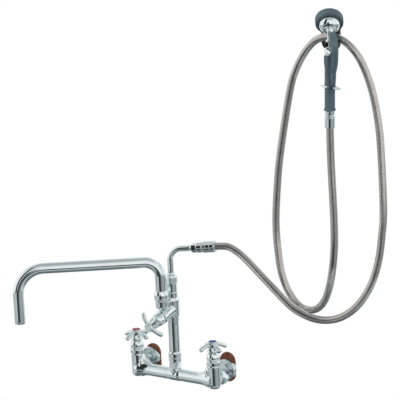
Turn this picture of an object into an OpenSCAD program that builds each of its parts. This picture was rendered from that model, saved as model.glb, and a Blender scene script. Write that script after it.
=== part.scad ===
// Wall-mounted kitchen mixing faucet with a swing-nozzle faucet added on its riser, and a
// squeeze-lever hand spray on a flexible steel hose that hangs over a wall hook.
// Origin: on the wall, midway between the two water inlets. +X runs to the cold side,
// +Y into the wall and +Z up. All sizes are in millimetres.

/* [Wall inlets] */
// Distance between the two wall inlets
inlet_centres = 203.2; // [196:0.1:212]
// Distance from the wall to the axes of the two valves
stand_off = 56; // [55:1:70]
// How far the wall inlets sit above the axis of the body
inlet_rise = 12; // [9:0.5:13]
// Radius of the tapped hole that takes the supply pipe
pipe_r = 9.15; // [8:0.05:9.6]
// Radius of the round flange against the wall
flange_r = 23; // [19:0.5:28]
// Thickness of the round flange
flange_t = 9.5; // [7:0.5:11]
// Depth of the dish in the face of the flange
dish_depth = 3.5; // [1:0.5:5]
// Width of the raised rim of the flange
rim_w = 3; // [2:0.5:5]
// Width of the oblong wall gasket
gasket_w = 38; // [34:1:48]
// Height of the oblong wall gasket
gasket_h = 66; // [50:1:80]
// Thickness of the wall gasket
gasket_t = 4.5; // [3:0.5:6]
// Radius of the coupling tube of an inlet
coupling_r = 8; // [7.6:0.1:9]
// Distance across the flats of a coupling nut
coupling_nut_af = 28; // [26:0.5:32]

/* [Body] */
// Radius of the cross tube
tube_r = 13.6; // [12:0.1:14]
// Radius of a valve barrel
barrel_r = 14.3; // [13.2:0.1:15.2]
// Depth of a barrel below the axis of the body
barrel_base = 18; // [15:0.5:24]
// Height of a barrel above the axis of the body
barrel_top = 35; // [34:0.5:42]
// Radius of the waterway in the cross tube
waterway_r = 7.5; // [5:0.5:8]
// Length of the threaded stub at the back of a barrel
stub_len = 25; // [22:0.5:26]
// Radius of the threaded stub
stub_r = 10; // [9.5:0.1:11]

/* [Valves] */
// Radius of the collar of a bonnet
collar_r = 15.7; // [14.6:0.1:18]
// Height of the collar of a bonnet
collar_h = 10; // [7:0.5:12]
// Radius of the domed top of a bonnet
dome_r = 14.8; // [12:0.1:15]
// Height of a bonnet above its barrel
bonnet_h = 30.5; // [27:0.5:34]
// Radius of the stem
stem_r = 3.9; // [3:0.1:4.5]
// Radius of the hole in a seat
port_r = 4.5; // [3:0.1:5.5]
// Travel of a valve plug from closed to open
valve_lift = 2.5; // [1:0.1:2.8]

/* [Handles] */
// Length of a handle arm from the axis to its tip
arm_reach = 30; // [26:1:42]
// Radius of a handle arm
arm_r = 4.6; // [3.5:0.1:5.2]
// How far the tips of the arms droop
arm_droop = 5; // [2:0.5:8]
// Radius of the hub of a handle at its top
hub_r = 10.4; // [10.1:0.1:12]
// Height of the hub of a handle
hub_h = 22; // [20:0.5:28]
// Radius of a colour button
button_r = 8.6; // [6:0.1:9]
// Turn of the hot handle on its stem
hot_arm_angle = 83; // [0:1:89]
// Turn of the cold handle on its stem
cold_arm_angle = 62; // [0:1:89]
// Turn of the middle handle on its stem
addon_arm_angle = 40; // [0:1:89]

/* [Riser] */
// Radius of the riser pipe
riser_r = 12; // [11:0.5:13]
// Radius of the nut at the foot of the riser
riser_nut_r = 13.8; // [13.6:0.1:17]
// Height of the foot of the added faucet above the inlets
addon_foot_z = 109; // [90:1:150]

/* [Added faucet] */
// Height of the added faucet's body
addon_h = 54; // [53:1:68]
// Height of the round hub at its foot
hub_foot_h = 12; // [8:0.5:12]
// Radius of the added faucet's body
addon_r = 15; // [14:0.1:18]
// Turn of the added faucet about the riser
addon_turn = -8; // [-30:1:30]
// Downward tilt of its valve
addon_tilt = 19; // [12:1:24]
// Distance from the riser axis to the bonnet of its valve
addon_reach = 30; // [29:0.5:34]
// Distance from the riser axis to the nozzle axis
tower_offset = 33; // [32:0.5:36]
// Radius of the socket that carries the nozzle
tower_r = 14.2; // [13.4:0.1:15]
// Height of the top of that socket above the foot of the body
tower_top = 63; // [58:0.5:72]

/* [Swing nozzle] */
// Outer radius of the nozzle tube
nozzle_r = 11.8; // [11.5:0.1:13]
// Wall of the nozzle tube
nozzle_wall = 1.3; // [0.8:0.1:2]
// Height of the nozzle's level run above its socket
nozzle_rise = 76.4; // [60:0.1:120]
// Reach from the pivot to the outlet
nozzle_reach = 304.8; // [150:0.1:400]
// Bend radius over the pivot
nozzle_bend = 33; // [26:1:50]
// Bend radius over the outlet
outlet_bend = 57; // [30:1:70]
// Drop from the level run to the open end
outlet_drop = 119; // [80:1:150]
// Direction of the nozzle at rest, from +X
nozzle_angle = 217.7; // [190:0.1:300]

/* [Hose elbow] */
// Radius of the sleeve above the added faucet
sleeve_r = 12.5; // [11.5:0.1:14]
// Height of the sleeve
sleeve_h = 32; // [20:1:50]
// Radius of the elbow's nut
elbow_nut_r = 14; // [13:0.1:17]
// Height of the elbow's nut
elbow_nut_h = 20; // [16:1:26]
// Outer radius of the elbow tube
elbow_r = 6.5; // [5.5:0.1:7.5]
// Bend radius of the elbow tube
elbow_bend = 28; // [20:1:40]
// Upward tilt of the elbow's outlet
elbow_tilt = 7; // [0:1:15]
// Direction of the elbow's outlet, from +X
elbow_turn = 12; // [0:1:20]
// Straight run of the elbow tube above its nut
elbow_rise = 28.5; // [20:0.5:45]
// Straight run of the elbow tube past the bend
elbow_run = 26.5; // [15:0.5:40]

/* [Hose] */
// Outer radius of the hose
hose_r = 8; // [7.5:0.1:9.5]
// Radius of the hose's crimped ends
ferrule_r = 12.6; // [11.9:0.1:14]

/* [Hand spray] */
// Sideways place of the spray's axis
spray_x = 423; // [420:1:426]
// Distance from the wall to the spray's axis
spray_y = 62; // [60:1:66]
// Height of the lower end of the grip above the inlets
spray_z = 608.5; // [600:0.5:616]
// Direction that the side of the grip across from the lever faces, from +X
spray_turn = 139; // [125:1:150]
// Lean of the spray towards +X as it hangs
spray_lean = 2.3; // [0:0.1:3]
// Radius of the grip
grip_r = 10.6; // [10:0.1:12]
// Length of the grip
grip_len = 113.5; // [106:0.5:116]
// Upward tilt of the spray head
head_tilt = 32; // [20:1:38]
// Turn of the spray head on its neck
head_turn = -14; // [-20:1:10]
// Radius of the domed head
head_r = 21.5; // [18:0.5:24]
// Radius of the bumper
bumper_r = 28.5; // [26:0.5:32]
// Depth of the bumper along the head
bumper_depth = 19; // [14:0.5:22]
// Width of the squeeze lever
lever_w = 14; // [11:0.5:17]
// Thickness of the squeeze lever
lever_t = 3; // [2:0.2:3.6]
// Radius of the wire of the hold-down ring
ring_wire_r = 2; // [1:0.1:2.4]
// Number of jets in the spray face
jet_count = 18; // [8:1:24]

/* [Wall hook] */
// Sideways place of the hook's plate
hook_x = 394; // [388:1:400]
// Height of the hook's arm above the inlets
hook_z = 738; // [736:0.5:739]
// Width of the hook's plate
hook_plate_w = 44; // [34:1:56]
// Height of the hook's plate
hook_plate_h = 80; // [66:1:100]
// Thickness of the hook's plate
hook_plate_t = 6; // [3:0.5:7]
// Width of the hook's arm
hook_arm_w = 22; // [20:0.5:28]
// Radius of the screw holes in the hook's plate
hook_hole_r = 2.6; // [1.5:0.1:3.5]

/* [Hidden] */
$fn = 64;
STEP = 0.01;               // overlap where a cut passes a face
fit = 0.05;                // running or thread clearance, on the radius
through = 60;              // length of a cut that passes right through
hex_corner = 1 / cos(30);  // corner radius of a hexagon over half its flats

// body
valve_x = inlet_centres / 2;
body_z = -inlet_rise;
bonnet_z = body_z + barrel_top;
boss_top = 15;             // top of the riser boss above the axis of the body
boss_r = tube_r;           // riser boss below its chamfer
boss_thread_r = 9;         // thread between the body and the riser's foot
passage_r = 6;             // passages of the stubs and inlets
stub_end = stub_len - stand_off;

// inlet couplings, from the stub towards the wall
seal_t = 2;
lip_t = 3;
nut_grip = 6;              // length of thread in the coupling nut
nut_lip = 4.5;             // inner lip of the coupling nut
hub_front = -19.5;         // front of the eccentric hub
tap_depth = 13.5;
register_r = pipe_r + 2.2;  // collar of the inlet that centres the gasket
gasket_hole_r = pipe_r + 2.5;

// valve stack, measured from the bonnet plane: positive towards the handle
chamber_r = 10.6;          // wet chamber above the seat
seat_r = 8;
seat_depth = 25;
seat_face = -18;           // lip of the seat
washer_r = 7;
washer_t = 3.5;
cup_r = 8.6;               // cup of the plug around its washer
cup_top = -10.4;
shank_r = 5.6;             // shank of the plug
shank_top = -2;
screw_r = 3.3;             // screw at the foot of the stem
thrust_z = 4.5;            // shoulder that holds the stem's collar
seal_z = 21;               // groove of the stem seal
seal_r = 5.6;
collar_low = 1.2;          // underside of the stem's collar, above the raised plug
hub_gap = 0.6;             // air between the dome and the handle
hub_z = bonnet_h + hub_gap;
arm_z = hub_z + hub_h - 8.5;
drive_w = 5.4;             // square drive on the stem
stem_top = hub_z + 12.7;
web_t = 2.2;               // web of the hub under the screw head
screw_head_h = 2.8;
thread_r = 2;              // handle screw

// riser
foot_z = body_z + boss_top;
foot_h = 14;               // hexagon of the riser's foot
riser_nut_h = 23;
riser_low = foot_z + foot_h + 6;
riser_thread_r = 10;

// added faucet
addon_axis_z = addon_foot_z + 29;
run_r = 5;                 // waterway up the added faucet
socket_depth = 12;
hub_foot_r = riser_r + 1.2;
tower_z = addon_foot_z + tower_top;
tower_floor = tower_z - 27;
pivot_r = 9.5;             // turned foot of the nozzle
pivot_x = tower_offset * sin(addon_turn);
pivot_y = -stand_off - tower_offset * cos(addon_turn);
adapter_r = 9;             // thread of the hose sleeve
port_offset = 15.5;        // waterway from the valve up to the nozzle's socket
port_z = tower_floor + 9;
web_top = addon_foot_z + 49;

// nozzle
level_z = tower_z + nozzle_rise;
flare_r = tower_r - 0.2;   // collar brazed on the nozzle's foot
nozzle_nut_r = tower_r + 1.8;
nozzle_nut_lap = 8;        // how far the nut reaches down over the socket
nozzle_nut_h = 20;

// elbow
sleeve_z = addon_foot_z + addon_h;
nut_z = sleeve_z + sleeve_h;
elbow_z = nut_z + elbow_nut_h + elbow_rise;
elbow_sweep = 90 - elbow_tilt;
spigot_r = 10.5;           // thread at the top of the sleeve
elbow_hex_h = 12;          // hexagon of the elbow nut below its shoulder
fitting_af = 18.5;
fitting_len = 13;
swivel_r = 11.5;
swivel_len = 14;
elbow_ferrule_len = 27;
joint_gap = 1.5;

// spray, measured up from the lower end of the grip
plunger_w = grip_len + 7.5;  // height of the plunger
barrel_w = plunger_w + 7;  // top of the valve barrel
bead_w = barrel_w + 12;    // underside of the bead that sits in the hook
pivot_w = bead_w + 20;     // height of the lever's pin
apex_w = pivot_w + 3;      // foot of the domed head
pivot_u = -13;
pin_r = 1.5;
neck_r = 5.5;
core_r = 7.5;              // inlet tube inside the grip
core_bore_r = 5;
port_barrel_r = 7;         // barrel across the casting that holds the plunger
grip_swell = 1.6;          // the grip's fuller top and foot
notch_w = 11;              // notch in the top of the grip, under the plunger
notch_h = 21;
notch_floor = 9.2;         // distance from the axis to the floor of the notch
face_depth = 33;           // front of the head casting, along the head
head_wall = 2.5;
bumper_lap = 14;           // how far the bumper reaches back over the head
tail_len = 8.5;
spray_ferrule_len = 26;
lever_in = -22;            // inner face of the lever beside the grip
tail_w = plunger_w - 84;   // lower tip of the lever
contact_u = -34;           // inner face of the lever at the plunger
plunger_r = 3;
tip_dome = 0.8;            // height of the plunger's domed tip
ring_w = tail_w + 13;      // height of the hold-down ring
ring_play = 1.2;           // play of the ring around the grip and the lever
cap_seat = 17;             // face of the valve barrel under the plunger cap
valve_seat = 2.5;          // seat inside the valve barrel
spring_foot = 5.4;         // back of the disc, where the spring starts

// hook
cradle_y = -18;            // hose above the hook
hose_bend = 82;            // bend of the hose over the hook
hose_lift = 5;             // underside of the hose above the height of the hook's arm
fork_tip_z = 9.8;          // top of the fork, above the height of the arm
fork_low = 0.8;            // underside of the fork, above the height of the arm
groove_play = 1.2;         // room for the hose in the groove of the arm
spray_ferrule_r = ferrule_r - 2;
hook_screw_z = 40;         // middle of the two screw holes, above the arm
hook_screw_step = 24;
gusset_low = -20;          // foot of the gusset between the plate and the arm
gusset_high = 30;
gusset_run = 28;           // where the gusset meets the top of the fork
root = 8;                  // how far the arm starts behind the face of the plate

// Route of the hose, from the elbow to the hand spray
hose_route = [
  [85, -38, 279], [128, -29, 283], [152, -28, 276], [180, -31, 261], [240, -43, 222],
  [299, -53, 183], [331, -54, 168], [364, -53, 160], [395, -50, 161], [425, -46, 171],
  [454, -41, 192], [476, -36, 220], [494, -32, 255], [507, -28, 300], [514, -25, 350],
  [517, -21, 405], [512, -16, 530], [506, -16, 596], [492, -16, 658], [469, -17, 710],
  [438, -18, 741], [402, -18, 751], [368, -18, 741], [340, -17, 715], [315, -16, 676],
  [298, -16, 630], [269, -16, 500], [257, -16, 420], [251, -17, 345], [254, -18, 286],
  [262, -19, 236], [281, -22, 198], [311, -26, 172], [349, -33, 173], [381, -44, 198],
  [406, -56, 245], [421, -62, 311], [425, -64, 381], [422, -63, 510], [422.2, -62, 590]
];
rings_per_step = 2;
hose_sides = 12;

// ---------------------------------------------------------------- frames

// Bonnet plane of the hot valve (side -1) or the cold valve (side 1)
module side_valve(side) {
  translate([side * valve_x, -stand_off, bonnet_z]) children();
}

// Frame of the added faucet: its valve and nozzle face local -Y
module addon_frame() {
  translate([0, -stand_off, 0]) rotate([0, 0, addon_turn]) children();
}

// Bonnet plane of the added faucet's valve
module addon_valve() {
  addon_frame() translate([0, 0, addon_axis_z]) rotate([90 + addon_tilt, 0, 0])
    translate([0, 0, addon_reach]) children();
}

// Frame of the nozzle: local +X runs out towards the outlet
module nozzle_frame() {
  translate([pivot_x, pivot_y, 0]) rotate([0, 0, nozzle_angle]) children();
}

// Frame of the elbow's outlet: local +Z runs along the outlet, from the end of the bend
module outlet_frame() {
  translate([0, -stand_off, elbow_z]) rotate([0, 0, elbow_turn])
    translate([elbow_bend * (1 - cos(elbow_sweep)), 0, elbow_bend * sin(elbow_sweep)])
      rotate([0, elbow_sweep, 0]) children();
}

// Frame of the hand spray: local +X faces as the head does, origin at the foot of the grip
module spray_frame() {
  translate([spray_x, -spray_y, spray_z]) rotate([0, spray_lean, 0]) rotate([0, 0, spray_turn])
    children();
}

// Frame of the spray head: local +Z runs out through the face
module head_frame() {
  spray_frame() translate([0, 0, apex_w]) rotate([0, 0, head_turn])
    rotate([0, 90 - head_tilt, 0]) children();
}

// Cylinder along +Y from y0 to y1
module along_y(r, y0, y1) {
  translate([0, y0, 0]) rotate([-90, 0, 0]) cylinder(r = r, h = y1 - y0);
}

// Cylinder along +X from x0 to x1
module along_x(r, x0, x1) {
  translate([x0, 0, 0]) rotate([0, 90, 0]) cylinder(r = r, h = x1 - x0);
}

// Hexagon prism with its corners chamfered by a cone at each end
module hex_nut(af, h) {
  intersection() {
    cylinder(r = af / 2 * hex_corner, h = h, $fn = 6);
    rotate_extrude() polygon([
      [0, 0], [af / 2 + 0.2, 0], [af / 2 * hex_corner + 0.1, 1.4],
      [af / 2 * hex_corner + 0.1, h - 1.4], [af / 2 + 0.2, h], [0, h]
    ]);
  }
}

// Points of an arc about (cx, cy), from angle a0 to a1
function arc(cx, cy, r, a0, a1, n) = [
  for (i = [0 : n]) let (a = a0 + (a1 - a0) * i / n) [cx + r * cos(a), cy + r * sin(a)]
];

// ---------------------------------------------------------------- body and inlets

// Half outline of the cross tube, which flares into the barrel at its end
flare = 24;
flare_end_r = barrel_base - 1;
flare_arc_r = ((flare_end_r - tube_r) * (flare_end_r - tube_r) + flare * flare)
  / (2 * (flare_end_r - tube_r));
flare_start = valve_x - 8 - flare;
function tube_side() = concat(
  [[0, 0], [tube_r + 0.8, 0], [tube_r + 0.8, 11], [tube_r, 15], [tube_r, flare_start]],
  [for (i = [1 : 10]) let (t = flare * i / 10)
    [tube_r + flare_arc_r - sqrt(flare_arc_r * flare_arc_r - t * t), flare_start + t]],
  [[flare_end_r, valve_x], [0, valve_x]]
);

module cross_tube() {
  for (side = [-1, 1]) rotate([0, side * 90, 0]) rotate_extrude() polygon(tube_side());
}

// One upright barrel about the valve axis, with a domed foot
module barrel() {
  dome = 9;
  rotate_extrude() polygon(concat(
    [[0, -barrel_base]],
    arc(barrel_r - dome, dome - barrel_base, dome, -90, 0, 8),
    [[barrel_r, barrel_top - 1.2], [barrel_r - 1.2, barrel_top], [0, barrel_top]]
  ));
}

// Chamber, seat hole and lower pocket of a valve, cut from its bonnet plane
module valve_cut(pocket) {
  translate([0, 0, seat_face - 2.5]) cylinder(r = chamber_r, h = -seat_face + 2.5 + STEP);
  translate([0, 0, -seat_depth]) cylinder(r = seat_r + fit, h = seat_depth + seat_face);
  translate([0, 0, -seat_depth - pocket]) cylinder(r = port_r + 1, h = pocket + STEP);
}

module mixing_body() {
  color("gainsboro") difference() {
    union() {
      translate([0, -stand_off, body_z]) {
        cross_tube();
        rotate_extrude() polygon([
          [0, 0], [boss_r + 1.4, 0], [boss_r + 0.4, 5], [boss_r, boss_top - 1],
          [boss_r - 0.8, boss_top], [0, boss_top]
        ]);
        for (side = [-1, 1]) translate([side * valve_x, 0, 0]) {
          barrel();
          along_y(stub_r, 0, stub_len);
          along_y(stub_r + 2.2, 0, stub_len - nut_grip - 4);
        }
      }
    }
    translate([0, -stand_off, body_z]) {
      along_x(waterway_r, -valve_x, valve_x);
      cylinder(r = boss_thread_r + fit, h = boss_top + STEP);
      for (side = [-1, 1]) translate([side * valve_x, 0, 0]) {
        along_y(passage_r, barrel_r, stub_len + STEP);
        translate([0, 18, 0]) rotate([28, 0, 0]) cylinder(r = 4, h = 24);
      }
    }
    for (side = [-1, 1]) side_valve(side) valve_cut(barrel_top - seat_depth);
  }
}

// Stadium outline of a gasket, its centre moved by shift
module stadium(w, h) {
  square([w, h - w], center = true);
  for (s = [-1, 1]) translate([0, s * (h - w) / 2]) circle(r = w / 2);
}

// Wall gasket: it hangs a little off centre on its pipe
module gasket(side, shift_x, shift_z) {
  translate([side * valve_x, 0, 0]) rotate([90, 0, 0]) linear_extrude(gasket_t) difference() {
    translate([shift_x, shift_z]) stadium(gasket_w, gasket_h);
    circle(r = gasket_hole_r);
  }
}
module hot_gasket() { color("saddlebrown") gasket(-1, 4, -4); }
module cold_gasket() { color("saddlebrown") gasket(1, 0, 4); }

// Eccentric inlet: a dished flange on the wall, a collar through its gasket, and a coupling
// tube below its centre
module inlet(side) {
  color("gainsboro") translate([side * valve_x, 0, 0]) difference() {
    union() {
      translate([0, -gasket_t, 0]) rotate([90, 0, 0]) rotate_extrude() polygon([
        [0, 0], [flange_r, 0], [flange_r, flange_t - 2], [flange_r - 1, flange_t - 0.4],
        [flange_r - rim_w, flange_t], [flange_r - rim_w - 1, flange_t - dish_depth],
        [0, flange_t - dish_depth]
      ]);
      along_y(pipe_r + 3.4, hub_front, -gasket_t - 1);
      along_y(register_r, -gasket_t - 1, 0);
      translate([0, 0, -inlet_rise]) {
        along_y(coupling_r + 2, hub_front, -gasket_t - 1);
        along_y(coupling_r, stub_end + seal_t, hub_front + 1);
        along_y(stub_r - 0.2, stub_end + seal_t, stub_end + seal_t + lip_t);
      }
    }
    along_y(pipe_r, -gasket_t - tap_depth, STEP);
    translate([0, 0, -inlet_rise]) along_y(passage_r, stub_end, -gasket_t - tap_depth + 3);
  }
}
module hot_inlet() { inlet(-1); }
module cold_inlet() { inlet(1); }

// Coupling nut: threads on the stub and pulls the lip of the inlet against its seal
module inlet_nut(side) {
  nut_y = stub_end - nut_grip;
  lip_y = stub_end + seal_t + lip_t;
  color("gainsboro") translate([side * valve_x, 0, body_z]) difference() {
    translate([0, nut_y, 0]) rotate([-90, 0, 0])
      hex_nut(coupling_nut_af, lip_y + nut_lip - nut_y);
    along_y(stub_r + fit, nut_y - STEP, lip_y);
    along_y(coupling_r + fit, lip_y - STEP, lip_y + nut_lip + STEP);
  }
}
module hot_inlet_nut() { inlet_nut(-1); }
module cold_inlet_nut() { inlet_nut(1); }

module inlet_washers() {
  color("dimgray") for (side = [-1, 1]) translate([side * valve_x, 0, body_z]) difference() {
    along_y(stub_r - 0.2, stub_end, stub_end + seal_t);
    along_y(6.5, stub_end - STEP, stub_end + seal_t + STEP);
  }
}

// ---------------------------------------------------------------- valves

// Seat: screwed into the foot of the chamber, with a raised lip
module seat() {
  color("goldenrod") rotate_extrude() polygon([
    [port_r, -seat_depth], [seat_r, -seat_depth], [seat_r, seat_face - 2.5],
    [seat_r + 1.3, seat_face - 2.5], [seat_r + 1.3, seat_face - 0.8],
    [port_r + 1.3, seat_face - 0.8], [port_r + 0.9, seat_face], [port_r, seat_face]
  ]);
}

// Bonnet: screws into the barrel; collar and dome show above it
module bonnet() {
  dome_z = collar_h + 6;
  top_half = bonnet_h - dome_z;
  nose = 13;
  color("gainsboro") difference() {
    union() {
      translate([0, 0, -nose]) cylinder(r = chamber_r - fit, h = nose + 1);
      rotate_extrude() polygon([
        [0, 0], [collar_r - 0.8, 0], [collar_r, 0.8], [collar_r, collar_h - 1.6],
        [collar_r - 1.6, collar_h], [0, collar_h]
      ]);
      intersection() {
        translate([0, 0, dome_z]) sphere(r = dome_r, $fn = 96);
        translate([0, 0, collar_h - 1]) cylinder(r = dome_r + 1, h = bonnet_h - collar_h + 1);
      }
    }
    translate([0, 0, -nose - STEP]) cylinder(r = cup_r + 0.3, h = nose + cup_top + valve_lift + 0.5);
    translate([0, 0, -nose]) cylinder(r = shank_r + fit + 0.2, h = nose + thrust_z);
    cylinder(r = stem_r + fit, h = bonnet_h + top_half);
    translate([0, 0, seal_z]) cylinder(r = seal_r + fit, h = 2.4);
  }
}

// Plug: a cup that holds the washer, and a shank bored for the stem's screw
module plug() {
  cup_low = seat_face + 0.6;
  color("goldenrod") difference() {
    union() {
      translate([0, 0, cup_low]) cylinder(r = cup_r, h = cup_top - cup_low);
      translate([0, 0, cup_top - 1]) cylinder(r = shank_r, h = shank_top - cup_top + 1);
    }
    translate([0, 0, cup_low - STEP])
      cylinder(r = washer_r + fit, h = seat_face + 0.1 + washer_t - cup_low + STEP);
    translate([0, 0, cup_top - 2.8]) cylinder(r = screw_r + fit, h = shank_top - cup_top + 3);
  }
}

module washer() {
  color("black") translate([0, 0, seat_face + 0.1]) cylinder(r = washer_r, h = washer_t);
}

// Stem: it turns but doesn't rise; its screw draws the plug up
module stem() {
  color("goldenrod") difference() {
    union() {
      translate([0, 0, cup_top + 0.2]) cylinder(r = screw_r, h = collar_low - cup_top);
      translate([0, 0, collar_low]) cylinder(r = shank_r, h = thrust_z - fit - collar_low);
      translate([0, 0, collar_low]) cylinder(r = stem_r, h = hub_z - collar_low);
      translate([-drive_w / 2, -drive_w / 2, hub_z - 1]) cube([drive_w, drive_w, stem_top - hub_z + 1]);
    }
    translate([0, 0, stem_top - 10]) cylinder(r = thread_r + fit, h = 10 + STEP);
  }
}

// Four arms of a handle, each a round-ended rod that droops towards its tip
module arms() {
  drop = atan2(arm_droop, arm_reach);
  length = arm_reach - arm_r;
  for (k = [0 : 3]) rotate([0, 90 + drop, 90 * k]) rotate_extrude()
    polygon(concat([[0, 0], [arm_r, 0]], arc(0, length, arm_r, 0, 90, 8)));
}

// Handle: bell hub with four drooping arms
module handle() {
  top = hub_z + hub_h;
  color("gainsboro") difference() {
    union() {
      rotate_extrude() polygon([
        [0, hub_z], [hub_r + 1.4, hub_z], [hub_r + 1.8, hub_z + 1.6], [hub_r + 1.2, hub_z + 4],
        [hub_r - 0.6, hub_z + 8], [hub_r - 0.6, arm_z], [hub_r, top - 3], [hub_r, top - 0.8],
        [hub_r - 0.6, top], [0, top]
      ]);
      translate([0, 0, arm_z]) arms();
    }
    translate([-drive_w / 2 - fit, -drive_w / 2 - fit, hub_z - STEP])
      cube([drive_w + 2 * fit, drive_w + 2 * fit, stem_top - hub_z + 0.2]);
    translate([0, 0, hub_z]) cylinder(r = thread_r + 0.4, h = hub_h);
    translate([0, 0, stem_top + web_t]) cylinder(r = button_r + fit, h = hub_h);
  }
}

module button(tone) {
  top = hub_z + hub_h;
  seat_z = stem_top + web_t + screw_head_h + 0.1;
  color(tone) translate([0, 0, seat_z]) cylinder(r = button_r, h = top + 0.4 - seat_z);
}

module handle_screw(cap) {
  head_z = stem_top + web_t;
  color("silver") {
    translate([0, 0, stem_top - 9.5]) cylinder(r = thread_r, h = 9.5 + web_t + 0.5);
    translate([0, 0, head_z]) cylinder(r = cap, h = screw_head_h);
  }
}

module hot_seat() { side_valve(-1) seat(); }
module hot_bonnet() { side_valve(-1) bonnet(); }
module hot_plug() { side_valve(-1) plug(); }
module hot_washer() { side_valve(-1) washer(); }
module hot_stem() { side_valve(-1) rotate([0, 0, hot_arm_angle]) stem(); }
module hot_handle() { side_valve(-1) rotate([0, 0, hot_arm_angle]) handle(); }
module hot_button() { side_valve(-1) button("crimson"); }
module hot_screw() { side_valve(-1) handle_screw(4.4); }

module cold_seat() { side_valve(1) seat(); }
module cold_bonnet() { side_valve(1) bonnet(); }
module cold_plug() { side_valve(1) plug(); }
module cold_washer() { side_valve(1) washer(); }
module cold_stem() { side_valve(1) rotate([0, 0, cold_arm_angle]) stem(); }
module cold_handle() { side_valve(1) rotate([0, 0, cold_arm_angle]) handle(); }
module cold_button() { side_valve(1) button("royalblue"); }
module cold_screw() { side_valve(1) handle_screw(4.4); }

module addon_seat() { addon_valve() seat(); }
module addon_bonnet() { addon_valve() bonnet(); }
module addon_plug() { addon_valve() plug(); }
module addon_washer() { addon_valve() washer(); }
module addon_stem() { addon_valve() rotate([0, 0, addon_arm_angle]) stem(); }
module addon_handle() { addon_valve() rotate([0, 0, addon_arm_angle]) handle(); }

// The middle handle has a wide plain screw cap in place of a colour button
module addon_screw() {
  addon_valve() {
    handle_screw(4.4);
    color("silver") translate([0, 0, stem_top + web_t + 1])
      cylinder(r = button_r, h = hub_z + hub_h - stem_top - web_t - 0.6);
  }
}

module stem_seal() {
  ring = (seal_r - stem_r - fit) / 2;
  color("black") translate([0, 0, seal_z + 1.2]) rotate_extrude()
    translate([stem_r + fit + ring, 0]) circle(r = ring, $fn = 24);
}

module stem_seals() {
  for (side = [-1, 1]) side_valve(side) stem_seal();
  addon_valve() stem_seal();
}

// ---------------------------------------------------------------- riser

// Foot of the riser: threads into the body, with a hexagon and a threaded spigot
module riser_foot() {
  color("gainsboro") translate([0, -stand_off, foot_z]) difference() {
    union() {
      translate([0, 0, -8]) cylinder(r = boss_thread_r, h = 9);
      hex_nut(riser_nut_r * 2 - 3, foot_h);
      cylinder(r = riser_r - 0.5, h = foot_h + 5.8);
    }
    translate([0, 0, -8 - STEP]) cylinder(r = 7, h = foot_h + 14);
  }
}

// Round coupling nut over the foot of the pipe
module riser_nut() {
  color("gainsboro") translate([0, -stand_off, foot_z + foot_h]) difference() {
    rotate_extrude() polygon([
      [0, 0.2], [riser_nut_r - 0.8, 0.2], [riser_nut_r, 1], [riser_nut_r, riser_nut_h - 3],
      [riser_nut_r - 1.5, riser_nut_h], [0, riser_nut_h]
    ]);
    translate([0, 0, -1]) cylinder(r = riser_r - 0.5 + fit, h = 7);
    cylinder(r = riser_r + fit, h = riser_nut_h + 1);
  }
}

module riser_pipe() {
  color("gainsboro") translate([0, -stand_off, 0]) difference() {
    union() {
      translate([0, 0, riser_low])
        cylinder(r = riser_r, h = addon_foot_z - riser_low);
      translate([0, 0, riser_low + 1])
        cylinder(r = riser_thread_r, h = addon_foot_z + socket_depth - 1.4 - riser_low);
    }
    translate([0, 0, riser_low - STEP]) cylinder(r = 7.5, h = addon_foot_z + 20 - riser_low);
  }
}

// ---------------------------------------------------------------- added faucet

// Outer form: an upright run, a tilted barrel for the valve and a socket for the nozzle
module addon_outside() {
  rotate_extrude() polygon([
    [0, addon_foot_z], [hub_foot_r - 0.8, addon_foot_z], [hub_foot_r, addon_foot_z + 0.8],
    [hub_foot_r, addon_foot_z + hub_foot_h - 1.4], [addon_r, addon_foot_z + hub_foot_h],
    [addon_r, addon_foot_z + addon_h - 6], [addon_r - 1, addon_foot_z + addon_h - 3],
    [sleeve_r, addon_foot_z + addon_h], [0, addon_foot_z + addon_h]
  ]);
  translate([0, 0, addon_axis_z]) rotate([90 + addon_tilt, 0, 0])
    cylinder(r = barrel_r, h = addon_reach);
  translate([0, -tower_offset, 0]) rotate_extrude() polygon([
    [0, tower_floor], [tower_r - 2.5, tower_floor], [tower_r - 0.8, tower_floor + 3],
    [tower_r - 0.8, tower_z - 9], [tower_r, tower_z - 8.5], [tower_r, tower_z], [0, tower_z]
  ]);
  translate([0, -tower_offset / 2, addon_axis_z - 6]) cylinder(r = 10, h = web_top - addon_axis_z + 6);
}

module addon_body() {
  color("gainsboro") difference() {
    addon_frame() addon_outside();
    addon_frame() {
      translate([0, 0, addon_foot_z - 1]) cylinder(r = run_r, h = addon_h + 2);
      translate([0, 0, addon_foot_z - STEP]) cylinder(r = riser_thread_r + fit, h = socket_depth);
      translate([0, 0, sleeve_z - 12]) cylinder(r = adapter_r + fit, h = 13);
      translate([0, -tower_offset, tower_floor + 3]) cylinder(r = pivot_r + fit, h = tower_top);
      translate([0, -port_offset, addon_axis_z]) cylinder(r = 3.4, h = port_z - addon_axis_z);
      translate([0, -port_offset - 1, port_z - port_r]) rotate([90, 0, 0])
        cylinder(r = 3, h = tower_offset - port_offset);
    }
    addon_valve() {
      translate([0, 0, seat_face - 2.5]) cylinder(r = chamber_r, h = -seat_face + 2.5 + STEP);
      translate([0, 0, -seat_depth]) cylinder(r = seat_r + fit, h = seat_depth + seat_face);
    }
  }
}

// ---------------------------------------------------------------- swing nozzle

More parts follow.
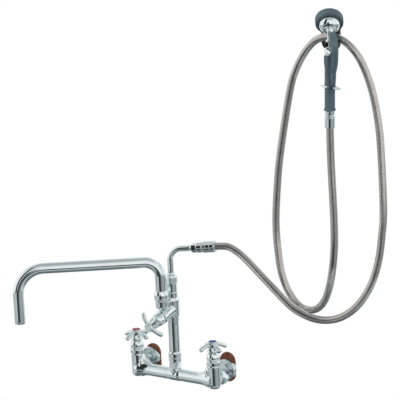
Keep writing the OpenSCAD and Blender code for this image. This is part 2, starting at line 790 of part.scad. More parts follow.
// The tube's path at radius r: up from z = low, over, out, and down past the open end
module nozzle_path(r, low, past) {
  run = nozzle_reach - nozzle_bend - outlet_bend;
  translate([0, 0, low]) cylinder(r = r, h = level_z - nozzle_bend - low);
  translate([nozzle_bend, 0, level_z - nozzle_bend]) rotate([90, 0, 0])
    rotate([0, 0, 90]) rotate_extrude(angle = 90) translate([nozzle_bend, 0]) circle(r = r);
  translate([nozzle_bend, 0, level_z]) rotate([0, 90, 0]) cylinder(r = r, h = run);
  translate([nozzle_reach - outlet_bend, 0, level_z - outlet_bend]) rotate([90, 0, 0])
    rotate_extrude(angle = 90) translate([outlet_bend, 0]) circle(r = r);
  translate([nozzle_reach, 0, level_z - outlet_drop - past])
    cylinder(r = r, h = outlet_drop - outlet_bend + past);
}

module nozzle() {
  color("gainsboro") nozzle_frame() difference() {
    union() {
      nozzle_path(nozzle_r, tower_z + 0.5, 0);
      translate([0, 0, tower_z + 0.5]) cylinder(r = flare_r, h = 3);
      translate([0, 0, tower_z - 20]) cylinder(r = pivot_r, h = 21);
    }
    nozzle_path(nozzle_r - nozzle_wall, tower_z + 2.5, 1);
    translate([0, 0, tower_z - 21]) cylinder(r = 7, h = 24);
    translate([0, 0, tower_z - 13]) difference() {
      cylinder(r = pivot_r + 1, h = 2.6);
      translate([0, 0, -1]) cylinder(r = pivot_r - 1.5, h = 5);
    }
  }
}

module nozzle_seal() {
  ring = 0.75;
  color("black") nozzle_frame() translate([0, 0, tower_z - 11.7]) rotate_extrude()
    translate([pivot_r - ring, 0]) circle(r = ring, $fn = 24);
}

// Nut that holds the nozzle's collar down on the socket
module nozzle_nut() {
  low = tower_z - nozzle_nut_lap;
  neck = tower_z + 3.9;
  top = low + nozzle_nut_h;
  color("gainsboro") addon_frame() translate([0, -tower_offset, 0]) difference() {
    rotate_extrude() polygon([
      [0, low], [nozzle_nut_r - 1, low], [nozzle_nut_r, low + 1], [nozzle_nut_r, neck],
      [nozzle_nut_r - 0.6, neck + 3], [nozzle_r + 2, top], [0, top]
    ]);
    translate([0, 0, low - STEP]) cylinder(r = tower_r + fit, h = neck - low);
    cylinder(r = nozzle_r + fit, h = top + 1);
  }
}

// ---------------------------------------------------------------- elbow and hose ends

module hose_sleeve() {
  color("gainsboro") translate([0, -stand_off, 0]) difference() {
    union() {
      translate([0, 0, sleeve_z - 11]) cylinder(r = adapter_r, h = 12);
      translate([0, 0, sleeve_z]) cylinder(r = sleeve_r - 0.7, h = sleeve_h);
      translate([0, 0, sleeve_z + 0.2]) cylinder(r = sleeve_r - 0.2, h = sleeve_h * 0.35);
      translate([0, 0, nut_z - 1]) cylinder(r = spigot_r, h = 9);
    }
    translate([0, 0, sleeve_z - 12]) cylinder(r = 5.5, h = sleeve_h + 22);
  }
}

// Nut with a round shoulder that clamps the elbow's flange on the sleeve
module elbow_nut() {
  top = nut_z + elbow_nut_h;
  color("gainsboro") translate([0, -stand_off, 0]) difference() {
    union() {
      translate([0, 0, nut_z + 0.2]) hex_nut(elbow_nut_r * 2 - 2, elbow_hex_h);
      rotate_extrude() polygon(concat(
        [[0, nut_z + 4], [elbow_nut_r - 1.2, nut_z + 4], [elbow_nut_r - 1.2, top - 7]],
        arc(elbow_nut_r - 7, top - 7, 5.8, 0, 90, 6),
        [[0, top - 1.2]]
      ));
      translate([0, 0, top - 4]) cylinder(r = elbow_r + 1.4, h = 6);
    }
    translate([0, 0, nut_z]) cylinder(r = spigot_r + fit, h = elbow_hex_h);
    translate([0, 0, nut_z]) cylinder(r = elbow_r + 0.15 + fit, h = elbow_nut_h + 3);
  }
}

// Bent tube of the elbow at radius r, lengthened at both ends by extra. The upright part is a
// little wider, as a drawn tube is before its bend.
module elbow_path(r, extra) {
  low = nut_z + 8.4;
  translate([0, -stand_off, 0]) rotate([0, 0, elbow_turn]) {
    translate([0, 0, low - extra]) cylinder(r = r + 0.15, h = elbow_z - low + extra + 0.4);
    translate([elbow_bend, 0, elbow_z]) rotate([90, 0, 0]) rotate([0, 0, 180 - elbow_sweep]) {
      rotate_extrude(angle = elbow_sweep) translate([elbow_bend, 0]) circle(r = r);
      translate([elbow_bend, 0, 0]) rotate([90, 0, 0]) cylinder(r = r, h = elbow_run + 2 + extra);
    }
  }
}

module elbow() {
  color("gainsboro") difference() {
    union() {
      elbow_path(elbow_r, 0);
      translate([0, -stand_off, nut_z + 8.4]) cylinder(r = 10.2, h = 3.4);
    }
    elbow_path(elbow_r - 1.6, 1);
  }
}

// Hexagon fitting brazed on the elbow's end; its spigot carries the swivel nut
module elbow_fitting() {
  color("gainsboro") outlet_frame() translate([0, 0, elbow_run]) difference() {
    union() {
      translate([0, 0, 0]) cylinder(r1 = elbow_r + 0.6, r2 = fitting_af / 2 - 0.4, h = 3);
      translate([0, 0, 2.8]) hex_nut(fitting_af, fitting_len - 2.8);
      cylinder(r = 7.6, h = fitting_len + joint_gap + swivel_len * 0.6);
    }
    translate([0, 0, -1]) cylinder(r = elbow_r + fit, h = 3 + fit);
    translate([0, 0, -1]) cylinder(r = elbow_r - 1.6, h = 40);
  }
}

module swivel_nut() {
  color("gainsboro") outlet_frame() translate([0, 0, elbow_run + fitting_len + joint_gap])
    difference() {
      rotate_extrude() polygon([
        [0, 0], [swivel_r - 1.2, 0], [swivel_r, 1.2], [swivel_r, swivel_len - 1.2],
        [swivel_r - 1.2, swivel_len], [0, swivel_len]
      ]);
      translate([0, 0, -1]) cylinder(r = 7.6 + fit, h = swivel_len * 0.62 + 1);
      cylinder(r = 7, h = swivel_len + 1);
    }
}

// Crimped end of the hose: grips the hose and screws into the swivel nut
module elbow_ferrule() {
  start = elbow_run + fitting_len + joint_gap + swivel_len * 0.64;
  face = elbow_run + fitting_len + 2 * joint_gap + swivel_len;
  color("gainsboro") outlet_frame() difference() {
    union() {
      translate([0, 0, start]) cylinder(r = 6.9, h = face - start + 1);
      translate([0, 0, face]) rotate_extrude() polygon([
        [0, 0], [ferrule_r - 0.8, 0], [ferrule_r, 0.8], [ferrule_r, elbow_ferrule_len - 0.8],
        [ferrule_r - 0.8, elbow_ferrule_len], [0, elbow_ferrule_len]
      ]);
    }
    translate([0, 0, start - 1]) cylinder(r = 5, h = 60);
    translate([0, 0, face + 4]) cylinder(r = hose_r + fit, h = elbow_ferrule_len);
  }
}

// ---------------------------------------------------------------- hose

// A point of the smooth curve through the route, t of the way from point i to the next
function curve(p, i, t) = let (
  n = len(p) - 1,
  a = p[max(i - 1, 0)], b = p[i], c = p[min(i + 1, n)], d = p[min(i + 2, n)]
) 0.5 * (2 * b + (c - a) * t + (2 * a - 5 * b + 4 * c - d) * t * t
  + (3 * b - a - 3 * c + d) * t * t * t);

// Centres of the tube's rings
function centres(p, n) = concat(
  [for (i = [0 : len(p) - 2], k = [0 : n - 1]) curve(p, i, k / n)], [p[len(p) - 1]]
);

function unit(v) = v / norm(v);
function side_of(t) = unit(cross(t, [0.1, 1, 0.05]));

// Swept tube of radius r and the given sides along the points c
module tube(c, r, sides) {
  last = len(c) - 1;
  points = [
    for (i = [0 : last])
      let (t = unit(c[min(i + 1, last)] - c[max(i - 1, 0)]), u = side_of(t), v = cross(t, u))
        for (k = [0 : sides - 1]) let (a = 360 * k / sides) c[i] + r * (cos(a) * u + sin(a) * v)
  ];
  walls = [
    for (i = [0 : last - 1], k = [0 : sides - 1])
      let (m = (k + 1) % sides, a = i * sides, b = a + sides)
        each [[a + k, b + k, b + m], [a + k, b + m, a + m]]
  ];
  ends = [
    [for (k = [0 : sides - 1]) k],
    [for (k = [sides - 1 : -1 : 0]) last * sides + k]
  ];
  polyhedron(points = points, faces = concat(walls, ends));
}

module hose() {
  color("rosybrown") tube(centres(hose_route, rings_per_step), hose_r, hose_sides);
}

// Crimped end of the hose below the hand spray
module spray_ferrule() {
  color("gainsboro") spray_frame() translate([0, 0, -tail_len - 1 - spray_ferrule_len])
    difference() {
      cylinder(r = spray_ferrule_r, h = spray_ferrule_len);
      translate([0, 0, -1]) cylinder(r = hose_r + fit, h = spray_ferrule_len - 6);
      cylinder(r = 5, h = spray_ferrule_len + 1);
    }
}

// ---------------------------------------------------------------- hand spray

// Threaded tail between the ferrule and the grip
module spray_tail() {
  color("gainsboro") spray_frame() difference() {
    union() {
      translate([0, 0, -tail_len - 1]) cylinder(r = core_r, h = tail_len + 8);
      translate([0, 0, -tail_len]) cylinder(r = grip_r - 0.8, h = tail_len);
    }
    translate([0, 0, -tail_len - 2]) cylinder(r = core_bore_r, h = tail_len + 12);
  }
}

// Grip sleeve: a plain length, a flange at its foot, and a fuller top with a notch in it
module spray_grip() {
  top = grip_len;
  inner_r = core_r + fit;
  full_r = grip_r + grip_swell;
  color("darkslategray") spray_frame() difference() {
    rotate_extrude() polygon([
      [inner_r, 0], [full_r - 0.6, 0], [full_r, 1.2], [full_r, 3.4], [grip_r, 5.2],
      [grip_r, top - 26], [full_r, top - 14], [full_r, top - 2], [grip_r, top], [inner_r, top]
    ]);
    translate([-notch_floor - notch_w, -notch_w / 2, top - notch_h])
      cube([notch_w, notch_w, notch_h + 1]);
  }
}

// Valve barrel, neck and domed head, one casting with the inlet tube inside the grip
module spray_body() {
  barrel_len = barrel_w - grip_len;
  low_wall = 21;             // depth of the passage's blind end below the plunger
  cheek_w = lever_w - 4.6;   // lug between the lever's cheeks
  lug_r = 4.6;
  swell_r = head_r - head_wall;
  color("gainsboro") difference() {
    union() {
      spray_frame() {
        translate([0, 0, 7.2]) cylinder(r = core_r, h = grip_len - 7);
        translate([0, 0, grip_len + 0.2]) rotate_extrude() polygon([
          [0, 0], [grip_r - 0.2, 0], [grip_r - 0.2, 9], [core_r + 1, barrel_len - 2],
          [core_r - 1, barrel_len], [0, barrel_len]
        ]);
        translate([0, 0, barrel_w - 2]) cylinder(r = neck_r, h = apex_w - barrel_w + 2);
        translate([0, 0, bead_w]) rotate_extrude() polygon([
          [0, 0], [neck_r + 1.8, 0], [neck_r + 2.6, 1], [neck_r + 2.6, 4.4],
          [neck_r + 1.2, 6], [0, 6]
        ]);
        translate([0, 0, plunger_w]) along_x(port_barrel_r, contact_u + 11, cap_seat);
        translate([pivot_u, 0, pivot_w]) rotate([90, 0, 0])
          cylinder(r = lug_r, h = cheek_w, center = true);
        translate([pivot_u, -cheek_w / 2, pivot_w - 3]) cube([-pivot_u, cheek_w, 6]);
      }
      head_frame() rotate_extrude() polygon(concat(
        [[0, -6.4], [4, -5], [6.2, -2], [core_r - 0.5, 1], [core_r - 0.5, 3]],
        [for (i = [1 : 8]) let (a = i * 90 / 8)
          [core_r - 0.5 + (head_r - core_r + 0.5) * sin(a), 20 - 17 * cos(a)]],
        [[head_r, face_depth - 2], [0, face_depth - 2]]
      ));
    }
    spray_frame() {
      translate([0, 0, 6]) cylinder(r = core_bore_r, h = plunger_w - low_wall);
      translate([core_r - 1, 0, plunger_w - low_wall]) cylinder(r = 2.6, h = low_wall);
      translate([0, 0, plunger_w]) {
        along_x(core_bore_r, valve_seat, cap_seat + 1);
        along_x(plunger_r + 0.8, 0, valve_seat + STEP);
        along_x(plunger_r + fit, contact_u, 1);
        cylinder(r = 2.4, h = apex_w - plunger_w);
      }
      translate([pivot_u, 0, pivot_w]) rotate([90, 0, 0])
        cylinder(r = pin_r + fit, h = through, center = true);
    }
    head_frame() {
      cylinder(r = 3.4, h = 12);
      translate([0, 0, 10]) cylinder(r1 = 4, r2 = swell_r, h = 12);
      translate([0, 0, 22 - STEP]) cylinder(r = swell_r, h = face_depth - 22);
    }
  }
}

// Spray face: a disc with rings of jets, held inside the head
module spray_face() {
  color("silver") head_frame() difference() {
    translate([0, 0, face_depth - 5.5]) cylinder(r = head_r - head_wall - fit, h = 3);
    for (k = [0 : jet_count - 1]) rotate([0, 0, k * 360 / jet_count])
      translate([head_r * 0.66, 0, 0]) cylinder(r = 0.9, h = through, $fn = 16);
  }
}

// Rubber bumper around the head
module spray_bumper() {
  back = face_depth - bumper_lap;
  lip = back + bumper_depth;
  color("darkslategray") head_frame() difference() {
    rotate_extrude() polygon(concat(
      [[0, back], [head_r + 2, back]],
      arc(bumper_r - 4, back + 4, 4, -70, 0, 5),
      [[bumper_r, lip - 3], [bumper_r - 1.6, lip], [head_r + 0.4, lip], [head_r - 1.5, lip - 3],
       [0, lip - 3]]
    ));
    cylinder(r = head_r + fit, h = face_depth - 2 + fit);
    cylinder(r = head_r - 3.5, h = through);
  }
}

// Side outline of the lever: outer edge down, then inner edge back up
function lever_outline() = let (t = lever_t, u = contact_u, q = lever_in) [
  [pivot_u - 2, pivot_w + 6.5], [pivot_u - 7, pivot_w + 4], [pivot_u - 12, pivot_w - 4],
  [u + 2 - t, plunger_w + 19], [u - t, plunger_w + 6], [u - t, plunger_w - 12],
  [u + 4 - t, plunger_w - 24], [q - t + 0.5, plunger_w - 38], [q - t, plunger_w - 48],
  [q - t, tail_w + 6], [q - t + 1, tail_w], [q, tail_w],
  [q, plunger_w - 49], [q + 0.5, plunger_w - 40], [u + 4.5, plunger_w - 25],
  [u, plunger_w - 12], [u, plunger_w + 5], [u + 2.2, plunger_w + 17],
  [pivot_u - 9, pivot_w - 6], [pivot_u - 6, pivot_w - 5], [pivot_u + 4, pivot_w - 5],
  [pivot_u + 5, pivot_w + 2], [pivot_u + 3, pivot_w + 6]
];

// Front outline of the lever: parallel sides, drawn to a V at its tail
function lever_front() = let (w = lever_w / 2) [
  [-w + 1, pivot_w + 8], [w - 1, pivot_w + 8], [w, pivot_w + 2], [w, tail_w + 50],
  [w - 2.4, tail_w + 24], [3.4, tail_w + 6], [1.6, tail_w - 1], [-1.6, tail_w - 1],
  [-3.4, tail_w + 6], [-w + 2.4, tail_w + 24], [-w, tail_w + 50], [-w, pivot_w + 2]
];

module spray_lever() {
  color("darkslategray") spray_frame() difference() {
    intersection() {
      rotate([90, 0, 0]) linear_extrude(lever_w + 2, center = true) polygon(lever_outline());
      rotate([90, 0, 90]) linear_extrude(2 * through, center = true) polygon(lever_front());
    }
    translate([pivot_u, 0, pivot_w]) rotate([90, 0, 0])
      cylinder(r = pin_r + fit, h = through, center = true);
    translate([pivot_u - 5.6, -lever_w / 2 + 2, pivot_w - 8]) cube([20, lever_w - 4, 20]);
  }
}

module lever_pin() {
  color("silver") spray_frame() translate([pivot_u, 0, pivot_w]) rotate([90, 0, 0])
    cylinder(r = pin_r, h = lever_w + 1, center = true);
}

// Hold-down ring: an oval of wire around the grip and the lever
module hold_ring() {
  inner_x = grip_r + 0.4;
  outer_x = lever_in - lever_t - ring_play;
  half = (inner_x - outer_x) / 2;
  middle = (inner_x + outer_x) / 2;
  side = grip_r + 4.9 + ring_wire_r;
  straight = half + ring_wire_r - side;
  color("gainsboro") spray_frame() translate([middle, 0, ring_w]) {
    for (s = [-1, 1]) {
      translate([s * straight, 0, 0]) rotate([0, 0, s * 90 - 180]) rotate_extrude(angle = 180)
        translate([side, 0]) circle(r = ring_wire_r, $fn = 24);
      translate([0, s * side, 0]) rotate([0, 90, 0])
        cylinder(r = ring_wire_r, h = 2 * straight + 2 * STEP, center = true, $fn = 24);
    }
  }
}

// Plunger: tip under the lever, stem through the barrel, disc behind the seat
module plunger() {
  color("silver") spray_frame() translate([0, 0, plunger_w]) {
    along_x(plunger_r, contact_u + 0.1 + tip_dome, valve_seat + 1);
    translate([contact_u + 0.1, 0, 0]) rotate([0, 90, 0]) rotate_extrude() polygon([
      [0, 0], [1, 0.06 * tip_dome], [2, 0.35 * tip_dome], [plunger_r, tip_dome],
      [plunger_r, tip_dome + 1], [0, tip_dome + 1]
    ]);
    along_x(core_bore_r - 0.4, valve_seat + fit, spring_foot - fit);
  }
}

module plunger_cap() {
  color("gainsboro") spray_frame() translate([0, 0, plunger_w]) {
    along_x(core_bore_r - fit, cap_seat - 3, cap_seat + 0.5);
    translate([cap_seat + 0.1, 0, 0]) rotate([0, 90, 0])
      cylinder(r1 = port_barrel_r - 0.6, r2 = core_bore_r, h = 3.4);
  }
}

module plunger_spring() {
  turns = 4;
  wire = 0.5;
  start = spring_foot;
  end = cap_seat - 3.1;
  r = 3.6;
  steps = 12 * turns;
  points = [
    for (i = [0 : steps]) let (a = 360 * i / 12)
      [r * cos(a), r * sin(a), wire + (end - start - 2 * wire) * i / steps]
  ];
  color("silver") spray_frame() translate([start, 0, plunger_w]) rotate([0, 90, 0])
    tube(points, wire, 6);
}

// ---------------------------------------------------------------- wall hook

// Plate on the wall, an arm that cradles the hose, and a fork that takes the spray's neck
module wall_hook() {
  neck_x = spray_x + (hook_z - spray_z) * tan(spray_lean);
  turn = atan2(neck_x - hook_x, spray_y);
  slot_r = neck_r + 1.2;
  run = sqrt((neck_x - hook_x) * (neck_x - hook_x) + spray_y * spray_y);
  color("black") difference() {
    union() {
      translate([hook_x, 0, hook_z + hook_plate_h / 2 - hook_plate_w / 2]) rotate([90, 0, 0])
        linear_extrude(hook_plate_t) stadium(hook_plate_w, hook_plate_h);
      intersection() {
        translate([hook_x, 0, hook_z]) rotate([0, 0, turn - 90]) rotate([90, 0, 0])
          linear_extrude(hook_arm_w, center = true) polygon([
            [-root, gusset_low], [run - 15, fork_low], [run + 8, fork_low],
            [run + 8, fork_tip_z], [gusset_run, fork_tip_z], [-root, gusset_high]
          ]);
        translate([hook_x - through, -2 * through - hook_plate_t / 2, hook_z - through])
          cube(2 * through);
      }
    }
    translate([hook_x + 8, cradle_y, hook_z + hose_r + hose_lift - hose_bend]) rotate([90, 0, 0])
      rotate([0, 0, 50]) rotate_extrude(angle = 80) translate([hose_bend, 0])
        circle(r = hose_r + groove_play);
    translate([neck_x, -spray_y, hook_z - through / 2]) cylinder(r = slot_r, h = through);
    translate([neck_x, -spray_y, hook_z - through / 2]) rotate([0, 0, turn - 90])
      translate([0, -slot_r, 0]) cube([through / 2, 2 * slot_r, through]);
    for (s = [-1, 1])
      translate([hook_x, -through / 2, hook_z + hook_screw_z + s * hook_screw_step / 2])
        rotate([-90, 0, 0]) cylinder(r = hook_hole_r, h = through);
  }
}

// ---------------------------------------------------------------- nodes

mixing_body();
hot_gasket();
cold_gasket();
hot_inlet();
cold_inlet();
hot_inlet_nut();
cold_inlet_nut();
inlet_washers();
hot_seat();
hot_bonnet();
hot_plug();
hot_washer();
hot_stem();
hot_handle();
hot_button();
hot_screw();
cold_seat();
cold_bonnet();
cold_plug();
cold_washer();
cold_stem();
cold_handle();
cold_button();
cold_screw();
addon_seat();
addon_bonnet();
addon_plug();
addon_washer();
addon_stem();
addon_handle();
addon_screw();
stem_seals();
riser_foot();
riser_nut();
riser_pipe();
addon_body();
nozzle();
nozzle_nut();
nozzle_seal();
hose_sleeve();
elbow_nut();
elbow();
elbow_fitting();
swivel_nut();
elbow_ferrule();
hose();
spray_ferrule();
spray_tail();
spray_body();
spray_grip();
spray_face();
spray_bumper();
spray_lever();
lever_pin();
hold_ring();
plunger();
plunger_spring();
plunger_cap();
wall_hook();
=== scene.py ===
import math

import bmesh
import bpy
import numpy as np
from mathutils import Matrix, Vector


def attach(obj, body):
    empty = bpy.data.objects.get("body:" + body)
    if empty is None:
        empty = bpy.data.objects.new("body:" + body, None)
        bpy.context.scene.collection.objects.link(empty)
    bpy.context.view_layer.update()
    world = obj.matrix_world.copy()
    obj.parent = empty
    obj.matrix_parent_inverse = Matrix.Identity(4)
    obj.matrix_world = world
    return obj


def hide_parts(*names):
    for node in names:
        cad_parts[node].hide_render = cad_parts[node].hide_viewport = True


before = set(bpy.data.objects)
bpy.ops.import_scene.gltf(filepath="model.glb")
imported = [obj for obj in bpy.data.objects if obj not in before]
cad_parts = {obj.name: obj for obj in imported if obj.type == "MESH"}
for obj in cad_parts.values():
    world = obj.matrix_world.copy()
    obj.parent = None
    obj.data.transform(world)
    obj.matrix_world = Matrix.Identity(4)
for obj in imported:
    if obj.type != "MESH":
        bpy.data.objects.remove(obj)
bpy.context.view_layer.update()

# ---------------------------------------------------------------- camera
# A long lens a little above the faucet, in front of it and to the right. It stands far off, so
# that level tubes stay nearly parallel.


def linked(name, data):
    """A new object with the given data, put in the scene."""
    obj = bpy.data.objects.new(name, data)
    bpy.context.scene.collection.objects.link(obj)
    return obj


camera_place = (3.12, -4.2777, 1.6726)
camera_right = Vector((0.81787404, 0.57350937, -0.04657316))
camera_up = Vector((-0.10105928, 0.22285779, 0.96959859))
camera_axes = Matrix((camera_right, camera_up, camera_right.cross(camera_up))).transposed()
camera_data = bpy.data.cameras.new("camera")
camera_data.sensor_width = 36
camera_data.lens = 228.2
camera_data.clip_end = 40
camera = linked("camera", camera_data)
camera.matrix_world = Matrix.Translation(camera_place) @ camera_axes.to_4x4()
bpy.context.scene.camera = camera

# ---------------------------------------------------------------- hose
# A rubber tube with a close-wound stainless strip over it. It leaves the elbow's crimped end,
# hangs in a loop over the wall hook and comes up again into the end below the hand spray.

hose_radius, hose_sides = 0.008, 20
rib_pitch, groove_depth = 0.0028, 0.00022
# where the rings of one rib lie, as shares of the pitch; the groove is at 0
rib_stations = (0, 0.08, 0.16, 0.5, 0.84, 0.92)
hose_route = [
    (0.085, -0.038, 0.279), (0.128, -0.029, 0.283), (0.152, -0.028, 0.276), (0.18, -0.031, 0.261),
    (0.24, -0.043, 0.222), (0.299, -0.053, 0.183), (0.331, -0.054, 0.168), (0.364, -0.053, 0.16),
    (0.395, -0.05, 0.161), (0.425, -0.046, 0.171), (0.454, -0.041, 0.192), (0.476, -0.036, 0.22),
    (0.494, -0.032, 0.255), (0.507, -0.028, 0.3), (0.514, -0.025, 0.35), (0.517, -0.021, 0.405),
    (0.512, -0.016, 0.53), (0.506, -0.016, 0.596), (0.492, -0.016, 0.658), (0.469, -0.017, 0.71),
    (0.438, -0.018, 0.741), (0.402, -0.018, 0.751), (0.368, -0.018, 0.741), (0.34, -0.017, 0.715),
    (0.315, -0.016, 0.676), (0.298, -0.016, 0.63), (0.269, -0.016, 0.5), (0.257, -0.016, 0.42),
    (0.251, -0.017, 0.345), (0.254, -0.018, 0.286), (0.262, -0.019, 0.236), (0.281, -0.022, 0.198),
    (0.311, -0.026, 0.172), (0.349, -0.033, 0.173), (0.381, -0.044, 0.198), (0.406, -0.056, 0.245),
    (0.421, -0.062, 0.311), (0.425, -0.064, 0.381), (0.422, -0.063, 0.51), (0.4222, -0.062, 0.59),
]


def smooth_line(route, steps):
    """The route's points with the given number of steps between each two, on one smooth curve."""
    points = np.array(route, float)
    padded = np.vstack([points[:1], points, points[-1:]])
    line = []
    for i in range(len(points) - 1):
        a, b, c, d = padded[i:i + 4]
        for t in np.arange(steps) / steps:
            line.append(0.5 * (2 * b + (c - a) * t + (2 * a - 5 * b + 4 * c - d) * t ** 2
                               + (3 * b - a - 3 * c + d) * t ** 3))
    line.append(points[-1])
    return np.array(line)


def travelled(line):
    """How far along a line each of its points lies."""
    return np.concatenate([[0], np.cumsum(np.linalg.norm(np.diff(line, axis=0), axis=1))])


def along(line, distances):
    """Points and directions at the given distances along a line."""
    way = travelled(line)
    points = np.stack([np.interp(distances, way, line[:, k]) for k in range(3)], axis=1)
    slopes = np.gradient(points, axis=0)
    return points, slopes / np.linalg.norm(slopes, axis=1)[:, None]


def frames(slopes, start):
    """Two directions across the line at each point, carried along it without twist."""
    across = np.array(start, float)
    sides = []
    for slope in slopes:
        across = across - slope * across.dot(slope)
        across = across / np.linalg.norm(across)
        sides.append(across.copy())
    sides = np.array(sides)
    return sides, np.cross(slopes, sides)


def angles_round(count):
    """Evenly spaced angles of a full circle."""
    return np.arange(count) * 2 * math.pi / count


def shade_smooth(mesh):
    """Marks every face of a mesh as smooth."""
    mesh.polygons.foreach_set("use_smooth", [True] * len(mesh.polygons))


def build(name, vertices, faces, uv=None):
    """A smooth-shaded mesh object whose place is in its mesh."""
    mesh = bpy.data.meshes.new(name)
    mesh.from_pydata([tuple(v) for v in vertices], [], [tuple(f) for f in faces])
    shade_smooth(mesh)
    if uv is not None:
        layer = mesh.uv_layers.new(name="surface")
        layer.data.foreach_set("uv", np.asarray(uv, float).ravel())
    mesh.update()
    return linked(name, mesh)


def skin(name, rings, capped=True, uv_lengths=None):
    """Skins rings of equal numbers of points; each end is closed by a fan of faces."""
    rings = np.asarray(rings, float)
    count, sides = rings.shape[:2]
    vertices = rings.reshape(-1, 3)
    faces, uv = [], []
    for i in range(count - 1):
        for k in range(sides):
            m = (k + 1) % sides
            faces.append((i * sides + k, i * sides + m, (i + 1) * sides + m, (i + 1) * sides + k))
            if uv_lengths is not None:
                u, w = k / sides, (k + 1) / sides
                v, x = uv_lengths[i], uv_lengths[i + 1]
                uv += [(u, v), (w, v), (w, x), (u, x)]
    if capped:
        vertices = np.vstack([vertices, rings[0].mean(0), rings[-1].mean(0)])
        for k in range(sides):
            m = (k + 1) % sides
            faces.append((m, k, count * sides))
            faces.append(((count - 1) * sides + k, (count - 1) * sides + m, count * sides + 1))
            if uv_lengths is not None:
                uv += [(k / sides, uv_lengths[0])] * 3 + [(k / sides, uv_lengths[-1])] * 3
    return build(name, vertices, faces, uv if uv_lengths is not None else None)


hose_line = smooth_line(hose_route, steps=40)
hose_length = float(travelled(hose_line)[-1])
rib_count = int(hose_length / rib_pitch)
ring_places = np.array([rib + share for rib in range(rib_count) for share in rib_stations])
ring_radii = [hose_radius - (0 if share else groove_depth) for share in rib_stations] * rib_count
centres, slopes = along(hose_line, ring_places * rib_pitch)
side_a, side_b = frames(slopes, (0, -1, 0.1))
turns = angles_round(hose_sides)
hose_rings = [centre + radius * (np.outer(np.cos(turns), a) + np.outer(np.sin(turns), b))
              for centre, radius, a, b in zip(centres, ring_radii, side_a, side_b)]
hose = skin("wound_hose", hose_rings, uv_lengths=ring_places)


def feed(tree, socket, value):
    """Links an output to a socket, or sets the socket's value."""
    if isinstance(value, bpy.types.NodeSocket):
        tree.links.new(value, socket)
    else:
        socket.default_value = value


def node(tree, kind, **inputs):
    """Adds a node and feeds its inputs; in a label, an underscore stands for a space."""
    made = tree.nodes.new(kind)
    for label, value in inputs.items():
        feed(tree, made.inputs[label.replace("_", " ")], value)
    return made


def new_material(name):
    """An empty material and its node tree, with the output linked to one Principled BSDF."""
    material = bpy.data.materials.new(name)
    material.use_nodes = True
    tree = material.node_tree
    return material, tree, tree.nodes["Principled BSDF"]


def dress(tree, shader, **inputs):
    """Feeds inputs of a material's Principled BSDF, labelled as in node."""
    for label, value in inputs.items():
        feed(tree, shader.inputs[label.replace("_", " ")], value)


def ramp(tree, factor, *stops):
    """A colour ramp on factor; each stop is (place, colour)."""
    made = node(tree, "ShaderNodeValToRGB", Fac=factor)
    elements = made.color_ramp.elements
    while len(elements) < len(stops):
        elements.new(0.5)
    for element, (place, colour) in zip(elements, stops):
        element.position = place
        element.color = (*colour, 1)
    return made.outputs["Color"]


def maths(tree, operation, *values, kind="ShaderNodeMath", output="Value"):
    """One arithmetic step on values, or on vectors with the kind ShaderNodeVectorMath."""
    made = tree.nodes.new(kind)
    made.operation = operation
    for socket, value in zip(made.inputs, values):
        feed(tree, socket, value)
    return made.outputs[output]


def object_place(tree):
    """The piece's own coordinates."""
    return node(tree, "ShaderNodeTexCoord").outputs["Object"]


def noise(tree, place, scale, detail=3.0, rough=0.5):
    """A noise between 0 and 1."""
    made = node(tree, "ShaderNodeTexNoise", Vector=place, Scale=scale, Detail=detail,
                Roughness=rough)
    return made.outputs["Fac"]


def bump(tree, height, strength, distance):
    """A normal that follows a height."""
    made = node(tree, "ShaderNodeBump", Height=height, Strength=strength, Distance=distance)
    return made.outputs["Normal"]


def paint(obj, material):
    """Gives a piece or a carried-over part its one material."""
    obj.data.materials.clear()
    obj.data.materials.append(material)


hose_steel, tree, shader = new_material("wound_steel_strip")
surface = node(tree, "ShaderNodeUVMap")
surface.uv_map = "surface"
split = node(tree, "ShaderNodeSeparateXYZ", Vector=surface.outputs["UV"]).outputs
# painted shade: across each rib the strip's colour darkens towards the groove, where shade falls
# between the ribs; the mottle is the steel's own random tone
painted_groove_shade = maths(tree, "PINGPONG", split["Y"], 0.5)
mottle = noise(tree, object_place(tree), 60.0)
tone = maths(tree, "MULTIPLY_ADD", mottle, 0.3, maths(tree, "MULTIPLY", painted_groove_shade, 1.2))
strand = maths(tree, "SINE", maths(tree, "MULTIPLY", split["X"], 220.0))
dress(tree, shader, Metallic=1,
      Base_Color=ramp(tree, tone, (0.1, (0.2, 0.185, 0.175)), (0.3, (0.52, 0.495, 0.475)),
                      (0.75, (0.74, 0.71, 0.685))),
      Roughness=maths(tree, "MULTIPLY_ADD", mottle, 0.06, 0.08),
      Normal=bump(tree, strand, 0.05, 0.0002))
paint(hose, hose_steel)

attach(hose, "faucet")
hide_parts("hose")

# ---------------------------------------------------------------- wall gaskets
# Two oblong pads of reddish-brown fibre board, die-cut, that seal the flanges to the wall.
# Each hangs a little off centre on its pipe.

doubled_point_gap = 0.000005


def new_group(name, inputs, outputs):
    """An empty shader node group with its sockets, and its inner ends."""
    group = bpy.data.node_groups.new(name, "ShaderNodeTree")
    for direction, labels in (("INPUT", inputs), ("OUTPUT", outputs)):
        for label in labels:
            kind = "NodeSocketVector" if label == "Place" else "NodeSocketFloat"
            group.interface.new_socket(label, in_out=direction, socket_type=kind)
    given = group.nodes.new("NodeGroupInput").outputs
    return group, given, group.nodes.new("NodeGroupOutput").inputs


def grain_group():
    """Fine moulded or pressed grain: a height for a Bump node and a tone mask."""
    group, given, results = new_group("pressed_grain", ("Place", "Scale"), ("Height", "Tone"))
    fine = noise(group, given["Place"], given["Scale"], 4.0, 0.6)
    broad_scale = maths(group, "MULTIPLY", given["Scale"], 0.07)
    broad = noise(group, given["Place"], broad_scale, 3.0, 0.55)
    tone = maths(group, "MULTIPLY_ADD", fine, 0.35, maths(group, "MULTIPLY", broad, 0.65))
    group.links.new(fine, results["Height"])
    group.links.new(tone, results["Tone"])
    return group


pressed_grain = grain_group()


